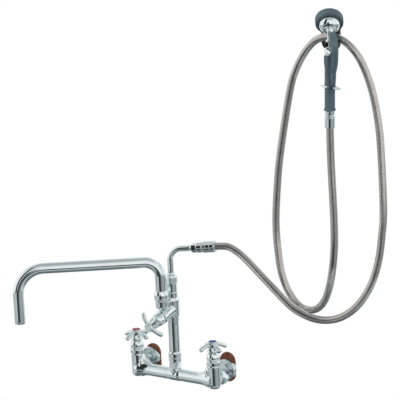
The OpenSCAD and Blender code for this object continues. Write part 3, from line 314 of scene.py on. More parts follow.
def placed_group(tree, group, label, value):
    """A node group in a material, on the piece's own coordinates, with one input set."""
    made = tree.nodes.new("ShaderNodeGroup")
    made.node_tree = group
    feed(tree, made.inputs["Place"], object_place(tree))
    feed(tree, made.inputs[label], value)
    return made.outputs


def grained(name, dark, light, scale, roughness, depth):
    """A matte moulded material whose colour runs between two tones over its grain."""
    material, tree, shader = new_material(name)
    grain = placed_group(tree, pressed_grain, "Scale", scale)
    dress(tree, shader,
          Base_Color=ramp(tree, grain["Tone"], (0.36, dark), (0.64, light)),
          Roughness=maths(tree, "MULTIPLY_ADD", grain["Tone"], 0.22, roughness - 0.11),
          Normal=bump(tree, grain["Height"], 0.5, depth))
    return material


def round_edges(obj, width, segments, least_angle):
    """Rounds the edges of an object that turn by at least the given degrees."""
    edge = obj.modifiers.new("edge", "BEVEL")
    edge.width = width
    edge.segments = segments
    edge.limit_method = "ANGLE"
    edge.angle_limit = math.radians(least_angle)
    return edge


def carry_over(name, material, edge_width=0):
    """Paints a part of the CAD, and rounds its sharp edges where a width is given."""
    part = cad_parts[name]
    paint(part, material)
    if edge_width:
        weld = part.modifiers.new("weld", "WELD")
        weld.merge_threshold = doubled_point_gap
        round_edges(part, edge_width, 2, 40).harden_normals = True


gasket_fibre = grained("brown_fibre_board", (0.135, 0.045, 0.022), (0.25, 0.095, 0.052),
                       900.0, 0.8, 0.0003)
for side in ("hot", "cold"):
    carry_over(side + "_gasket", gasket_fibre, 0.0005)

# ---------------------------------------------------------------- wall inlets
# Eccentric brass castings, turned, polished and chromed: a dished flange on the wall, and
# below its centre the coupling tube that a hexagonal nut draws onto the body.


def polish_group():
    """Buffed plating: broad waves and fine marks as a height, and a roughness between them."""
    group, given, results = new_group("buffed_plating", ("Place", "Marks"),
                                      ("Height", "Roughness"))
    waves = noise(group, given["Place"], 45.0, 1.0, 0.4)
    marks = noise(group, given["Place"], 2600.0, 3.0, 0.6)
    spots = noise(group, given["Place"], 160.0, 5.0, 0.65)
    film = maths(group, "SMOOTH_MAX", maths(group, "SUBTRACT", spots, 0.52), 0.0, 0.05)
    fine = maths(group, "MULTIPLY_ADD", marks, 0.5, 0.6)
    rough = maths(group, "MULTIPLY_ADD", film, 2.4, fine)
    group.links.new(maths(group, "MULTIPLY_ADD", marks, 0.003, waves), results["Height"])
    group.links.new(maths(group, "MULTIPLY", given["Marks"], rough), results["Roughness"])
    return group


buffed_plating = polish_group()


def plated(name, colour, marks, depth):
    """Polished plating over metal; marks sets how rough it is, depth how wavy."""
    material, tree, shader = new_material(name)
    finish = placed_group(tree, buffed_plating, "Marks", marks)
    haze = noise(tree, object_place(tree), 25.0)
    dull = tuple(0.9 * channel for channel in colour)
    dress(tree, shader, Metallic=1, Base_Color=ramp(tree, haze, (0.3, dull), (0.65, colour)),
          Roughness=finish["Roughness"], Normal=bump(tree, finish["Height"], 0.3, depth))
    return material


def merged_copy(name, source, *added):
    """A copy of a part with its doubled points merged, and the added pieces joined to it."""
    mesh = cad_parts[source].data.copy()
    work = bmesh.new()
    work.from_mesh(mesh)
    bmesh.ops.remove_doubles(work, verts=work.verts, dist=doubled_point_gap)
    for piece in added:
        work.from_mesh(piece.data)
        bpy.data.objects.remove(piece)
    work.to_mesh(mesh)
    work.free()
    shade_smooth(mesh)
    return linked(name + "_rough", mesh)


def applied(name, rough):
    """The object with its modifiers turned into a plain mesh."""
    graph = bpy.context.evaluated_depsgraph_get()
    mesh = bpy.data.meshes.new_from_object(rough.evaluated_get(graph))
    bpy.data.objects.remove(rough)
    mesh.name = name
    shade_smooth(mesh)
    return linked(name, mesh)


def machined_shape(name, source, width):
    """A copy of a turned or milled part with small round edges between its true faces."""
    rough = merged_copy(name, source)
    round_edges(rough, width, 3, 28)
    face = rough.modifiers.new("face", "WEIGHTED_NORMAL")
    face.keep_sharp = True
    return applied(name, rough)


def place_piece(obj, material, body, slot, *parts):
    """Paints a piece, lets it ride on its body, and hides the parts it stands for."""
    paint(obj, material)
    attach(obj, body)
    if parts:
        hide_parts(*parts)


turned_chrome = plated("chrome_on_turned_brass", (0.87, 0.93, 0.94), 0.07, 0.0002)
# painted shade: the flanges carry the same chrome as the other turned parts, in a darker copy that
# stands for shade on them
shaded_flange_chrome = plated("chrome_on_flange_darkened_as_painted_shade", (0.66, 0.72, 0.74), 0.2, 0.0003)
for side in ("hot", "cold"):
    inlet = machined_shape(side + "_inlet_casting", side + "_inlet", 0.0006)
    place_piece(inlet, shaded_flange_chrome, "faucet", "polished_chrome", side + "_inlet")
    carry_over(side + "_inlet_nut", turned_chrome, 0.0005)
washer_fibre = grained("red_fibre", (0.16, 0.06, 0.04), (0.24, 0.10, 0.07), 700.0, 0.75, 0.0002)
carry_over("inlet_washers", washer_fibre)

# ---------------------------------------------------------------- mixing body
# One sand casting in brass, ground, polished and chromed: a cross tube that swells into two
# upright valve barrels, with a boss for the riser in the middle.

mm = 0.001
stand_off, tube_height = 56, -12
tube_radius, tube_bore = 13.6, 7.6
flare_end, flare_length = 85.1, 29.5
# how far the flare's top, its underside and its sides grow out of the tube
flare_growth = (21, 4.6, 0.9)
# the flare starts just under the tube's skin and runs on inside the barrel for some more steps
flare_sink, run_on, run_on_steps = 0.5, 4.4, 0.55


def at(x, y, z):
    """A shift by millimetres."""
    return Matrix.Translation((x * mm, y * mm, z * mm))


def faced_outwards(obj, merge=0):
    """Merges an object's doubled points, where a gap is given, and turns its faces outwards."""
    work = bmesh.new()
    work.from_mesh(obj.data)
    if merge:
        bmesh.ops.remove_doubles(work, verts=work.verts, dist=merge)
    bmesh.ops.recalc_face_normals(work, faces=work.faces)
    work.to_mesh(obj.data)
    work.free()
    return obj


def trumpet(name, side):
    """The tube's flare up into a barrel: a hollow sleeve whose top rises in a quarter ellipse."""
    around = angles_round(64)
    outside, inside = [], []
    for step in np.linspace(0, 1 + run_on_steps, 26):
        x = side * (flare_end - flare_length * (1 - min(step, 1))
                    + run_on * max(0, step - 1) / run_on_steps)
        rise = 1 - math.sqrt(1 - min(step, 1) ** 2)
        up, down, wide = [tube_radius - flare_sink + growth * rise for growth in flare_growth]
        outside.append([at(x, -stand_off + wide * math.cos(a), tube_height + math.sin(a)
                           * (up if math.sin(a) > 0 else down)).translation for a in around])
        inside.append([at(x, -stand_off + tube_bore * math.cos(a),
                          tube_height + tube_bore * math.sin(a)).translation for a in around])
    sleeve = skin(name, outside + inside[::-1] + outside[:1], capped=False)
    return faced_outwards(sleeve, merge=0.000001)


def cast_shape(name, source, voxel, rounds, *added):
    """A copy of a part with its corners and joins rounded, as a polished casting has them."""
    rough = merged_copy(name, source, *added)
    remesh = rough.modifiers.new("remesh", "REMESH")
    remesh.mode = "VOXEL"
    remesh.voxel_size = voxel
    smooth = rough.modifiers.new("smooth", "SMOOTH")
    smooth.factor = 0.5
    smooth.iterations = rounds
    return applied(name, rough)


cast_chrome = plated("chrome_on_cast_brass", (0.86, 0.92, 0.93), 0.08, 0.0006)
body = cast_shape("mixing_body_casting", "mixing_body", 0.0009, 14,
                  trumpet("hot_flare", -1), trumpet("cold_flare", 1))
place_piece(body, cast_chrome, "faucet", "polished_chrome", "mixing_body")

# ---------------------------------------------------------------- valves
# Brass seats, plugs and stems inside, rubber seat washers and O-rings, and chromed bonnets
# that screw into the barrels and hold the stems.

half_spacing, barrel_top = 101.6, 23
# the middle valve's barrel: its turn, its height, how far it leans over, and its length
slant_turn, slant_height, slant_lean, slant_length = -8, 138, 109, 30


def turn(degrees, axis):
    """A turn about one axis."""
    return Matrix.Rotation(math.radians(degrees), 4, axis)


def corners(outline, radius, closed):
    """Rounds the corners of an outline of (radius, height) points."""
    points = [Vector(p) for p in outline]
    count = len(points)
    made = []
    for i, point in enumerate(points):
        if not closed and i in (0, count - 1):
            made.append(point)
            continue
        before, after = points[i - 1] - point, points[(i + 1) % count] - point
        reach = min(radius, 0.45 * before.length, 0.45 * after.length)
        bend = before.angle(after, math.pi) if reach > 0 else math.pi
        if bend > math.radians(165):
            made.append(point)
            continue
        start, end = point + before.normalized() * reach, point + after.normalized() * reach
        for t in (0, 0.25, 0.5, 0.75, 1):
            made.append((1 - t) ** 2 * start + 2 * t * (1 - t) * point + t ** 2 * end)
    return made


def kept_flat(line, closed, margin=0.25):
    """Adds a point just inside each end of a long straight, so that it shades flat."""
    flat = []
    ends = line[1:] + (line[:1] if closed else [])
    for start, end in zip(line, ends):
        flat.append(start)
        length = math.dist(start, end)
        if length > 4 * margin and min(start[0], end[0]) > 0.5:
            for share in (margin / length, 1 - margin / length):
                flat.append(tuple(s + share * (e - s) for s, e in zip(start, end)))
    return flat if closed else flat + [line[-1]]


def turned(name, place, outline, radius=0.5, closed=False, sides=80):
    """A turned piece: (radius, height) points in millimetres, spun about its place's Z axis."""
    vertices, faces, index = [], [], []
    for r, z in kept_flat(corners(outline, radius, closed), closed):
        if r < 1e-6:
            index.append([len(vertices)] * sides)
            vertices.append(place @ Vector((0, 0, z * mm)))
        else:
            index.append(list(range(len(vertices), len(vertices) + sides)))
            vertices += [place @ Vector((r * math.cos(a) * mm, r * math.sin(a) * mm, z * mm))
                         for a in angles_round(sides)]
    pairs = list(zip(index, index[1:])) + ([(index[-1], index[0])] if closed else [])
    for low, high in pairs:
        for k in range(sides):
            m = (k + 1) % sides
            corner = [low[k], low[m], high[m], high[k]]
            face = [v for n, v in enumerate(corner) if v not in corner[:n]]
            if len(face) > 2:
                faces.append(face)
    return faced_outwards(build(name, vertices, faces))


bare_brass = plated("machined_brass", (0.72, 0.53, 0.24), 0.28, 0.0004)
seal_rubber = grained("black_seal_rubber", (0.012, 0.012, 0.013), (0.03, 0.03, 0.032),
                      1200.0, 0.55, 0.0001)
for valve in ("hot", "cold", "addon"):
    for part in ("seat", "plug", "stem"):
        carry_over(valve + "_" + part, bare_brass)
    carry_over(valve + "_washer", seal_rubber)
carry_over("stem_seals", seal_rubber)

riser_place = at(0, -stand_off, 0)
valve_places = {
    "hot": at(-half_spacing, -stand_off, barrel_top),
    "cold": at(half_spacing, -stand_off, barrel_top),
    "addon": (riser_place @ turn(slant_turn, "Z") @ at(0, 0, slant_height)
              @ turn(slant_lean, "X") @ at(0, 0, slant_length)),
}
for valve, place in valve_places.items():
    bonnet = turned(valve + "_bonnet_turned", place, [
        (10.5, -13), (10.55, -0.2), (14.9, 0), (15.7, 0.8), (15.7, 8.4), (14.1, 10),
        (13.4, 10.2), (14.2, 12), (14.8, 16), (14.8, 19.2), (14.2, 22.6), (13.1, 25.6),
        (11.5, 28.2), (9.4, 30.2), (4.4, 30.5), (3.95, 30.4), (3.95, -2), (9, -2), (9, -13),
    ], 0.7, closed=True)
    place_piece(bonnet, turned_chrome, "faucet", "polished_chrome", valve + "_bonnet")

# ---------------------------------------------------------------- handles
# Four-arm brass handles, cast, polished and chromed. The arms leave the hub level, arch, and
# droop at their blunt tips. A square in the hub fits the stem and a screw holds it.

# the bearing of each handle's first arm
arm_angles = {"hot": 83, "cold": 62, "addon": 40}
# distance out, height, half width and half thickness along one arm
arm_stations = [
    (5, 46.2, 4.9, 4.3), (9, 46.0, 4.8, 4.2), (13, 45.3, 4.9, 4.2), (17, 44.2, 5.2, 4.3),
    (20.5, 42.8, 5.5, 4.5), (24, 41.1, 5.8, 4.7), (27, 39.5, 6.0, 4.8), (29.4, 38.2, 6.0, 4.8),
    (30.9, 37.4, 5.4, 4.3), (31.7, 37.0, 3.9, 3.1), (31.9, 36.9, 1.6, 1.2),
]


def arm(name):
    """One arm above the hub's own place, skinned over ovals square to its middle line."""
    middle = np.array([(out, 0, height) for out, height, _, _ in arm_stations], float)
    slopes = np.gradient(middle, axis=0)
    slopes /= np.linalg.norm(slopes, axis=1)[:, None]
    around = angles_round(24)
    rings = []
    for centre, (_, _, width, thick), slope in zip(middle, arm_stations, slopes):
        upward = (-slope[2], 0, slope[0])
        rings.append(centre + thick * np.outer(np.sin(around), upward)
                     + width * np.outer(np.cos(around), (0, 1, 0)))
    return skin(name, np.array(rings) * mm)


def new_shape_tree(name, **sizes):
    """An empty Geometry Nodes tree with a named input for each size, and its inner ends."""
    tree = bpy.data.node_groups.new(name, "GeometryNodeTree")
    tree.interface.new_socket("Geometry", in_out="OUTPUT", socket_type="NodeSocketGeometry")
    for label, kind in {"Geometry": "Geometry", **sizes, "Finish": "Material"}.items():
        tree.interface.new_socket(label, in_out="INPUT", socket_type="NodeSocket" + kind)
    given = tree.nodes.new("NodeGroupInput").outputs
    return tree, given, tree.nodes.new("NodeGroupOutput").inputs


def finish_tree(tree, shape, given, results):
    """Ends a tree: whatever it made becomes one mesh with one material."""
    whole = node(tree, "GeometryNodeRealizeInstances", Geometry=shape)
    painted = node(tree, "GeometryNodeSetMaterial", Geometry=whole.outputs["Geometry"],
                   Material=given["Finish"])
    tree.links.new(painted.outputs["Geometry"], results["Geometry"])
    return tree


def arms_tree():
    """Copies of one arm, spaced evenly round the hub from a first angle."""
    tree, given, results = new_shape_tree("arms_round_hub", Arms="Int", First="Float")
    spots = node(tree, "GeometryNodePoints", Count=given["Arms"]).outputs[0]
    step = maths(tree, "DIVIDE", 2 * math.pi, given["Arms"])
    number = node(tree, "GeometryNodeInputIndex").outputs["Index"]
    angle = maths(tree, "MULTIPLY_ADD", number, step, given["First"])
    euler = node(tree, "ShaderNodeCombineXYZ", Z=angle).outputs["Vector"]
    facing = node(tree, "FunctionNodeEulerToRotation", Euler=euler).outputs["Rotation"]
    arms = node(tree, "GeometryNodeInstanceOnPoints", Points=spots, Instance=given["Geometry"],
                Rotation=facing)
    return finish_tree(tree, arms.outputs["Instances"], given, results)


arms_round_hub = arms_tree()


def grown(obj, tree, material, **sizes):
    """What a Geometry Nodes tree makes of an object, as a plain mesh."""
    modifier = obj.modifiers.new("tree", "NODES")
    modifier.node_group = tree
    sizes["Finish"] = material
    for socket in tree.interface.items_tree:
        if socket.in_out == "INPUT" and socket.name in sizes:
            modifier[socket.identifier] = sizes[socket.name]
    return applied(obj.name, obj)


def joined(name, pieces):
    """Several meshes as one."""
    mesh = bpy.data.meshes.new(name)
    work = bmesh.new()
    for piece in pieces:
        work.from_mesh(piece.data)
        bpy.data.objects.remove(piece)
    work.to_mesh(mesh)
    work.free()
    shade_smooth(mesh)
    return faced_outwards(linked(name, mesh))


stainless = plated("stainless_steel", (0.62, 0.61, 0.59), 0.26, 0.0003)
carry_over("hot_screw", stainless)
carry_over("cold_screw", stainless)
carry_over("addon_screw", turned_chrome, 0.0008)
for valve, place in valve_places.items():
    hub = turned(valve + "_hub", place, [
        (2.4, 31.1), (12.4, 31.1), (12.9, 32), (12.5, 34.4), (11.2, 37.4), (9.9, 39.6),
        (9.7, 41), (9.9, 48), (10.4, 51), (10.4, 52.3), (9.8, 53.1), (8.65, 53.1), (8.65, 46.1),
        (2.4, 46.1),
    ], 0.7, closed=True)
    arms = grown(arm(valve + "_arms"), arms_round_hub, cast_chrome,
                 Arms=4, First=math.radians(arm_angles[valve]))
    arms.data.transform(place)
    handle = joined(valve + "_four_arm_handle", [hub, arms])
    place_piece(handle, cast_chrome, valve + "_stem_body", "polished_chrome", valve + "_handle")


def button(valve, colour_name, dark, colour):
    """A domed plastic colour button with a small pale inlay in its middle."""
    place, face_height = valve_places[valve], 53.6
    disc = turned(valve + "_colour_button", place, [
        (0, 46.8), (8.55, 46.8), (8.6, 53.0), (7.9, 53.45), (5, face_height), (0, 53.65)], 0.3)
    material, tree, shader = new_material(colour_name + "_button_plastic")
    middle = tuple(place @ Vector((0, 0, face_height * mm)))
    out = maths(tree, "DISTANCE", object_place(tree), middle, kind="ShaderNodeVectorMath")
    tone = maths(tree, "MULTIPLY_ADD", noise(tree, object_place(tree), 300.0, 4.0), 0.0012, out)
    # the colours follow the distance from the middle, in centimetres
    centimetres = maths(tree, "MULTIPLY", tone, 100.0)
    pale = (0.62, 0.64, 0.66)
    dress(tree, shader, Specular_IOR_Level=0.08,
          Base_Color=ramp(tree, centimetres, (0.0, pale), (0.18, pale), (0.22, dark),
                          (0.7, colour), (0.9, dark)),
          Roughness=maths(tree, "MULTIPLY_ADD", tone, 10.0, 0.3))
    place_piece(disc, material, valve + "_stem_body", colour_name + "_button",
                valve + "_button")


button("hot", "red", (0.17, 0.002, 0.012), (0.32, 0.003, 0.022))
button("cold", "blue", (0.002, 0.014, 0.15), (0.003, 0.03, 0.28))

# ---------------------------------------------------------------- riser
# A drawn brass pipe between the body and the added faucet. It stands in a hexagonal foot
# under a round coupling nut, all chromed.

carry_over("riser_foot", turned_chrome, 0.0006)
carry_over("riser_pipe", turned_chrome)
riser_nut = turned("riser_coupling_nut", riser_place, [
    (11.6, 17.2), (13.0, 17.2), (13.8, 18), (13.8, 26), (13.4, 26.4), (13.4, 27.0),
    (13.8, 27.4), (13.8, 37), (12.3, 40), (12.1, 40), (12.1, 24), (11.6, 24),
], 0.5, closed=True)
place_piece(riser_nut, turned_chrome, "faucet", "polished_chrome", "riser_nut")

# ---------------------------------------------------------------- added faucet
# A brass casting that takes the middle valve on a slanting barrel, and the swing nozzle in a
# socket in front of the riser. Ground and chromed like the body.

addon = cast_shape("added_faucet_casting", "addon_body", 0.0008, 12)
place_piece(addon, cast_chrome, "faucet", "polished_chrome", "addon_body")

# ---------------------------------------------------------------- swing nozzle
# One length of drawn brass tube, bent over the pivot and over the outlet, with a turned foot
# brazed in and an O-ring round it. A nut holds its collar down on the socket.

pivot_out, nozzle_turn = 33, 225.7
nozzle_radius, nozzle_bore = 11.8, 10.5
nozzle_reach, nozzle_top, pivot_bend, outlet_bend = 304.8, 248.4, 33, 57
nozzle_place = (riser_place @ turn(slant_turn, "Z") @ at(0, -pivot_out, 0)
                @ turn(nozzle_turn, "Z"))


def sweep_tree():
    """A round bar along a chain of edges, with or without end caps."""
    tree, given, results = new_shape_tree("round_bar_on_path", Radius="Float", Sides="Int",
                                          Capped="Bool")
    line = node(tree, "GeometryNodeMeshToCurve", Mesh=given["Geometry"]).outputs["Curve"]
    circle = node(tree, "GeometryNodeCurvePrimitiveCircle", Resolution=given["Sides"],
                  Radius=given["Radius"]).outputs["Curve"]
    bar = node(tree, "GeometryNodeCurveToMesh", Curve=line, Profile_Curve=circle,
               Fill_Caps=given["Capped"])
    return finish_tree(tree, bar.outputs["Mesh"], given, results)


round_bar_on_path = sweep_tree()


def swept(name, place, line, radius, material, sides, capped=False, closed=False):
    """A round bar swept along points in millimetres."""
    edges = [(k, k + 1) for k in range(len(line) - 1)] + ([(len(line) - 1, 0)] if closed else [])
    path = bpy.data.meshes.new(name)
    path.from_pydata([tuple(place @ (Vector(point) * mm)) for point in line], edges, [])
    return grown(linked(name, path), round_bar_on_path, material,
                 Radius=radius * mm, Sides=sides, Capped=capped)


def bent_tube(name, place, line, outer, inner, sides):
    """A tube swept along points, with its wall inside the swept skin."""
    tube = swept(name, place, line, outer, turned_chrome, sides)
    wall = tube.modifiers.new("wall", "SOLIDIFY")
    wall.thickness = (outer - inner) * mm
    wall.offset = -1
    wall.use_even_offset = True
    return applied(name, tube)


def bend_points(x, z, radius, start, end, count):
    """Points of an arc in the XZ plane."""
    return [(x + radius * math.cos(math.radians(a)), 0, z + radius * math.sin(math.radians(a)))
            for a in np.linspace(start, end, count)]


pivot_height, outlet_height = nozzle_top - pivot_bend, nozzle_top - outlet_bend
nozzle_line = ([(0, 0, z) for z in np.linspace(174.5, 213, 8)]
               + bend_points(pivot_bend, pivot_height, pivot_bend, 180, 90, 24)
               + [(x, 0, nozzle_top) for x in np.linspace(38, 242, 24)]
               + bend_points(nozzle_reach - outlet_bend, outlet_height, outlet_bend, 90, 0, 32)
               + [(nozzle_reach, 0, z) for z in np.linspace(188, 129.4, 12)])
nozzle_tube = bent_tube("nozzle_tube", nozzle_place, nozzle_line, nozzle_radius, nozzle_bore, 64)
foot = turned("nozzle_foot", nozzle_place, [
    (7, 152), (9.3, 152), (9.5, 152.4), (9.5, 159), (8, 159), (8, 161.6), (9.5, 161.6),
    (9.5, 172.5), (14, 172.5), (14, 175.5), (11.7, 175.6), (10.5, 175.6), (7, 174.6),
], 0.3, closed=True)
nozzle = joined("swing_nozzle", [nozzle_tube, foot])
place_piece(nozzle, turned_chrome, "nozzle_body", "polished_chrome", "nozzle")
carry_over("nozzle_seal", seal_rubber)
nozzle_nut = turned("nozzle_retaining_nut", nozzle_place, [
    (14.25, 164), (15, 164), (16, 165), (16, 167.2), (15.6, 167.5), (15.6, 168), (16, 168.3),
    (16, 175.9), (15.4, 178.9), (13.8, 184), (11.88, 184), (11.88, 175.9), (14.25, 175.9),
], 0.5, closed=True)
place_piece(nozzle_nut, turned_chrome, "faucet", "polished_chrome", "nozzle_nut")

# ---------------------------------------------------------------- elbow
# A turned sleeve on the added faucet, a nut with a round shoulder, and a bent tube that ends
# in a brazed hexagon. The hose's swivel nut and crimped end screw onto it.

elbow_turn, bend_height, bend_radius, bend_sweep = 12, 243.5, 28, 83
elbow_radius, elbow_bore = 6.5, 4.9
hexagon_turn = -12.3
# where the bend ends, and the slope of the straight after it
slope_out, slope_up = math.sin(math.radians(bend_sweep)), math.cos(math.radians(bend_sweep))
end_out, end_up = bend_radius * (1 - slope_up), bend_height + bend_radius * slope_out
elbow_place = riser_place @ turn(elbow_turn, "Z")
outlet_place = elbow_place @ at(end_out, 0, end_up) @ turn(bend_sweep, "Y")

sleeve = turned("hose_sleeve_turned", riser_place, [
    (5.5, 152), (9, 152), (9, 163), (12.1, 163.2), (12.3, 163.8), (12.3, 173.6), (11.8, 174.3),
    (11.8, 194.3), (11.2, 195), (10.5, 195), (10.5, 203), (5.5, 203),
], 0.4, closed=True)
place_piece(sleeve, turned_chrome, "faucet", "polished_chrome", "hose_sleeve")
carry_over("elbow_nut", turned_chrome, 0.0006)
elbow_line = ([(0, 0, z) for z in np.linspace(203.4, 240, 8)]
              + bend_points(bend_radius, bend_height, bend_radius, 180, 180 - bend_sweep, 24)
              + [(end_out + d * slope_out, 0, end_up + d * slope_up)
                 for d in np.linspace(3, 28.5, 6)])
elbow_tube = bent_tube("elbow_tube", elbow_place, elbow_line, elbow_radius, elbow_bore, 48)
elbow_flange = turned("elbow_flange", riser_place, [
    (6.2, 203.4), (10.2, 203.4), (10.2, 206.8), (6.2, 206.8)], 0.3, closed=True)
elbow = joined("bent_elbow", [elbow_tube, elbow_flange])
place_piece(elbow, turned_chrome, "faucet", "polished_chrome", "elbow")

# The hexagon is brazed on at a small turn about the tube.
hexagon = machined_shape("elbow_hexagon", "elbow_fitting", 0.0005)
hexagon.data.transform(outlet_place @ turn(hexagon_turn, "Z") @ outlet_place.inverted())
place_piece(hexagon, turned_chrome, "faucet", "polished_chrome", "elbow_fitting")
swivel = turned("swivel_nut_turned", outlet_place, [
    (7.65, 41), (10.3, 41), (11.5, 42.2), (11.5, 53.8), (10.3, 55), (7.05, 55),
    (7.05, 49.8), (7.65, 49.8),
], 0.4, closed=True)
place_piece(swivel, turned_chrome, "faucet", "polished_chrome", "swivel_nut")

crimp_outline = [(5, 51.5), (6.9, 51.5), (6.9, 56.5), (11.7, 56.5), (12.6, 57.4)]
for groove in (62.5, 73):
    crimp_outline += [(12.6, groove), (12.35, groove + 0.3), (12.35, groove + 0.8),
                      (12.6, groove + 1.1)]
crimp_outline += [(12.6, 82.7), (11.8, 83.5), (8.08, 83.5), (8.08, 60.5), (5, 60.5)]
elbow_end = turned("elbow_crimped_end", outlet_place, crimp_outline, 0.35, closed=True)
place_piece(elbow_end, turned_chrome, "faucet", "polished_chrome", "elbow_ferrule")

# ---------------------------------------------------------------- hand spray
# A chromed brass valve casting: inlet tube inside the grip, a barrel across it for the
# plunger, a neck, and a domed head that carries the drilled face and the rubber bumper.

spray_foot, spray_lean, spray_turn = (423, -62, 608.5), 2.3, 139
head_height, head_turn, head_tilt = 163, -14, 58
spray_place = at(*spray_foot) @ turn(spray_lean, "Y") @ turn(spray_turn, "Z")
head_place = spray_place @ at(0, 0, head_height) @ turn(head_turn, "Z") @ turn(head_tilt, "Y")
spray_end = turned("spray_crimped_end", spray_place, [
    (5, -15.5), (5, -9.5), (9.8, -9.5), (10.6, -10.3), (10.6, -12.8), (10.3, -13.2),
    (10.3, -13.8), (10.6, -14.2), (10.6, -34.7), (9.8, -35.5), (8.08, -35.5), (8.08, -15.5),
], 0.35, closed=True)
place_piece(spray_end, turned_chrome, "faucet", "polished_chrome", "spray_ferrule")
tail = turned("spray_tail_turned", spray_place, [
    (5, -9.5), (7.5, -9.5), (7.5, -8.5), (9.2, -8.5), (9.8, -7.9), (9.8, -0.6), (9.4, 0),
    (7.5, 0), (7.5, 7), (5, 7),
], 0.4, closed=True)
place_piece(tail, turned_chrome, "faucet", "polished_chrome", "spray_tail")
valve_casting = cast_shape("spray_valve_casting", "spray_body", 0.00065, 4)
place_piece(valve_casting, cast_chrome, "faucet", "polished_chrome", "spray_body")
face_steel = plated("drilled_steel_face", (0.66, 0.67, 0.67), 0.22, 0.0002)
carry_over("spray_face", face_steel)
carry_over("plunger_cap", turned_chrome, 0.0005)
for part in ("plunger", "plunger_spring", "lever_pin"):
    carry_over(part, stainless)

# ---------------------------------------------------------------- grip sleeve
# A sleeve moulded in slate-grey plastic and pushed over the spray's inlet tube. It has a notch
# at the top for the plunger.

grip_plastic = grained("slate_grip_plastic", (0.062, 0.098, 0.115), (0.095, 0.142, 0.165),
                       800.0, 0.46, 0.00025)
grip = cast_shape("grip_sleeve", "spray_grip", 0.0007, 3)
place_piece(grip, grip_plastic, "faucet", "grip_sleeve", "spray_grip")

# ---------------------------------------------------------------- bumper
# A thick ring of moulded rubber, pushed over the head until its inner lip meets the head's
# front edge. It keeps knocks off the drilled face.

bumper_rubber = grained("slate_bumper_rubber", (0.050, 0.078, 0.092), (0.085, 0.122, 0.140),
                        520.0, 0.6, 0.0004)
bumper = turned("rubber_bumper", head_place, [
    (21.55, 19.4), (23.5, 19), (26.4, 19.4), (28, 20.9), (28.5, 23.2), (28.5, 35), (27.9, 36.6),
    (26.9, 38), (21.9, 38), (20.4, 36.4), (20.0, 34.8), (18, 34.8), (18, 31.1), (21.55, 31.1),
], 0.9, closed=True)
place_piece(bumper, bumper_rubber, "faucet", "bumper_rubber", "spray_bumper")

# ---------------------------------------------------------------- squeeze lever
# A steel pressing dipped in grey plastic, crowned and creased down its middle. Its top end is
# plain, and a pin holds it there.

lever_coating = grained("slate_lever_coating", (0.060, 0.095, 0.112), (0.092, 0.138, 0.160),
                        700.0, 0.42, 0.0002)
# height on the spray and how much wider the coated lever is there
lever_heights = (30, 60, 80, 97, 121, 133, 145, 157, 165, 170)
lever_widths = (0.95, 1.0, 0.92, 0.92, 0.95, 1.02, 1.16, 1.02, 0.85, 0.8)
crown_height, crown_half_width = 1.3, 7
crease_depth, crease_half_width = 1.1, 1.1
crown_top, crown_fade = 150, 12
lever = cast_shape("squeeze_lever", "spray_lever", 0.0006, 4)
to_spray = spray_place.inverted()
for point in lever.data.vertices:
    out, side, height = (to_spray @ point.co) / mm
    pressed = min(1, max(0, (crown_top - height) / crown_fade))
    crown = (crown_height * max(0, 1 - (side / crown_half_width) ** 2)
             - crease_depth * math.exp(-(side / crease_half_width) ** 2))
    side *= float(np.interp(height, lever_heights, lever_widths))
    point.co = spray_place @ (Vector((out - pressed * crown, side, height)) * mm)
place_piece(lever, lever_coating, "lever_body", "lever_coating", "spray_lever")

# ---------------------------------------------------------------- hold-down ring
# Bright wire bent to an oval, which hangs a little askew round the grip and the lever. A short
# dark sleeve on the wire at its front is painted shade, where the wire rides on the lever.

wire_radius, dark_sleeve_radius = 2.3, 2.75
ring_out, ring_height = -7.6, 50
rightwards, wallwards = (0.82, 0.57), (-0.57, 0.82)
oval_out, oval_side, oval_straight = 17.9, 17.6, 3.6


def lean(degrees, x, y):
    """A turn about a level line of the room, for a piece placed on the spray."""
    axis = spray_place.inverted().to_3x3() @ Vector((x, y, 0))
    return Matrix.Rotation(math.radians(degrees), 4, axis.normalized())


def oval(first, last):
    """Points of the ring's oval, four degrees apart, between two angles round it."""
    points = []
    for a in np.radians(np.linspace(first, last, int((last - first) / 4) + 1)):
        straight = math.copysign(oval_straight, math.cos(a)) * min(1, abs(math.cos(a)) * 4)
        points.append((oval_out * math.cos(a) + straight, oval_side * math.sin(a), 0))
    return points


# the ring leans about a line to the right and about one towards the wall
ring_place = (spray_place @ at(ring_out, 0, ring_height)
              @ lean(-8, *rightwards) @ lean(9, *wallwards))
wire_ring = swept("hold_down_wire_ring", ring_place, oval(0, 356), wire_radius, turned_chrome,
                  20, closed=True)
place_piece(wire_ring, turned_chrome, "ring_body", "polished_chrome", "hold_ring")
# painted shade: a dark sleeve over the wire stands for the shade where the ring rides on the lever
shade_sleeve_finish = grained("dark_sleeve_painted_shade", (0.02, 0.028, 0.032), (0.04, 0.052, 0.06),
                900.0, 0.5, 0.0001)
ring_shade_sleeve = swept("ring_sleeve_painted_shade", ring_place, oval(148, 174), dark_sleeve_radius, shade_sleeve_finish,
                    20, capped=True)
place_piece(ring_shade_sleeve, shade_sleeve_finish, "ring_body", "lever_coating")

# ---------------------------------------------------------------- wall hook
# A cast-iron bracket with a baked black finish, held to the wall by two screws. Its arm has a
# groove for the hose and ends in a fork for the spray's neck.

black_finish = grained("baked_black_finish", (0.010, 0.011, 0.012), (0.028, 0.030, 0.032),
                       450.0, 0.5, 0.0004)
hook = cast_shape("wall_hook_casting", "wall_hook", 0.0008, 4)
place_piece(hook, black_finish, "faucet", "black_hook", "wall_hook")

# ---------------------------------------------------------------- studio
# A plain pale floor far below, a plain white surround and soft lamps. Bright metal also sees
# dark gaps between white screens, the dark foot of a screen on the floor, and the faucet's
# own shade right below it.

floor_drop, floor_radius, floor_sides = 1, 2, 96


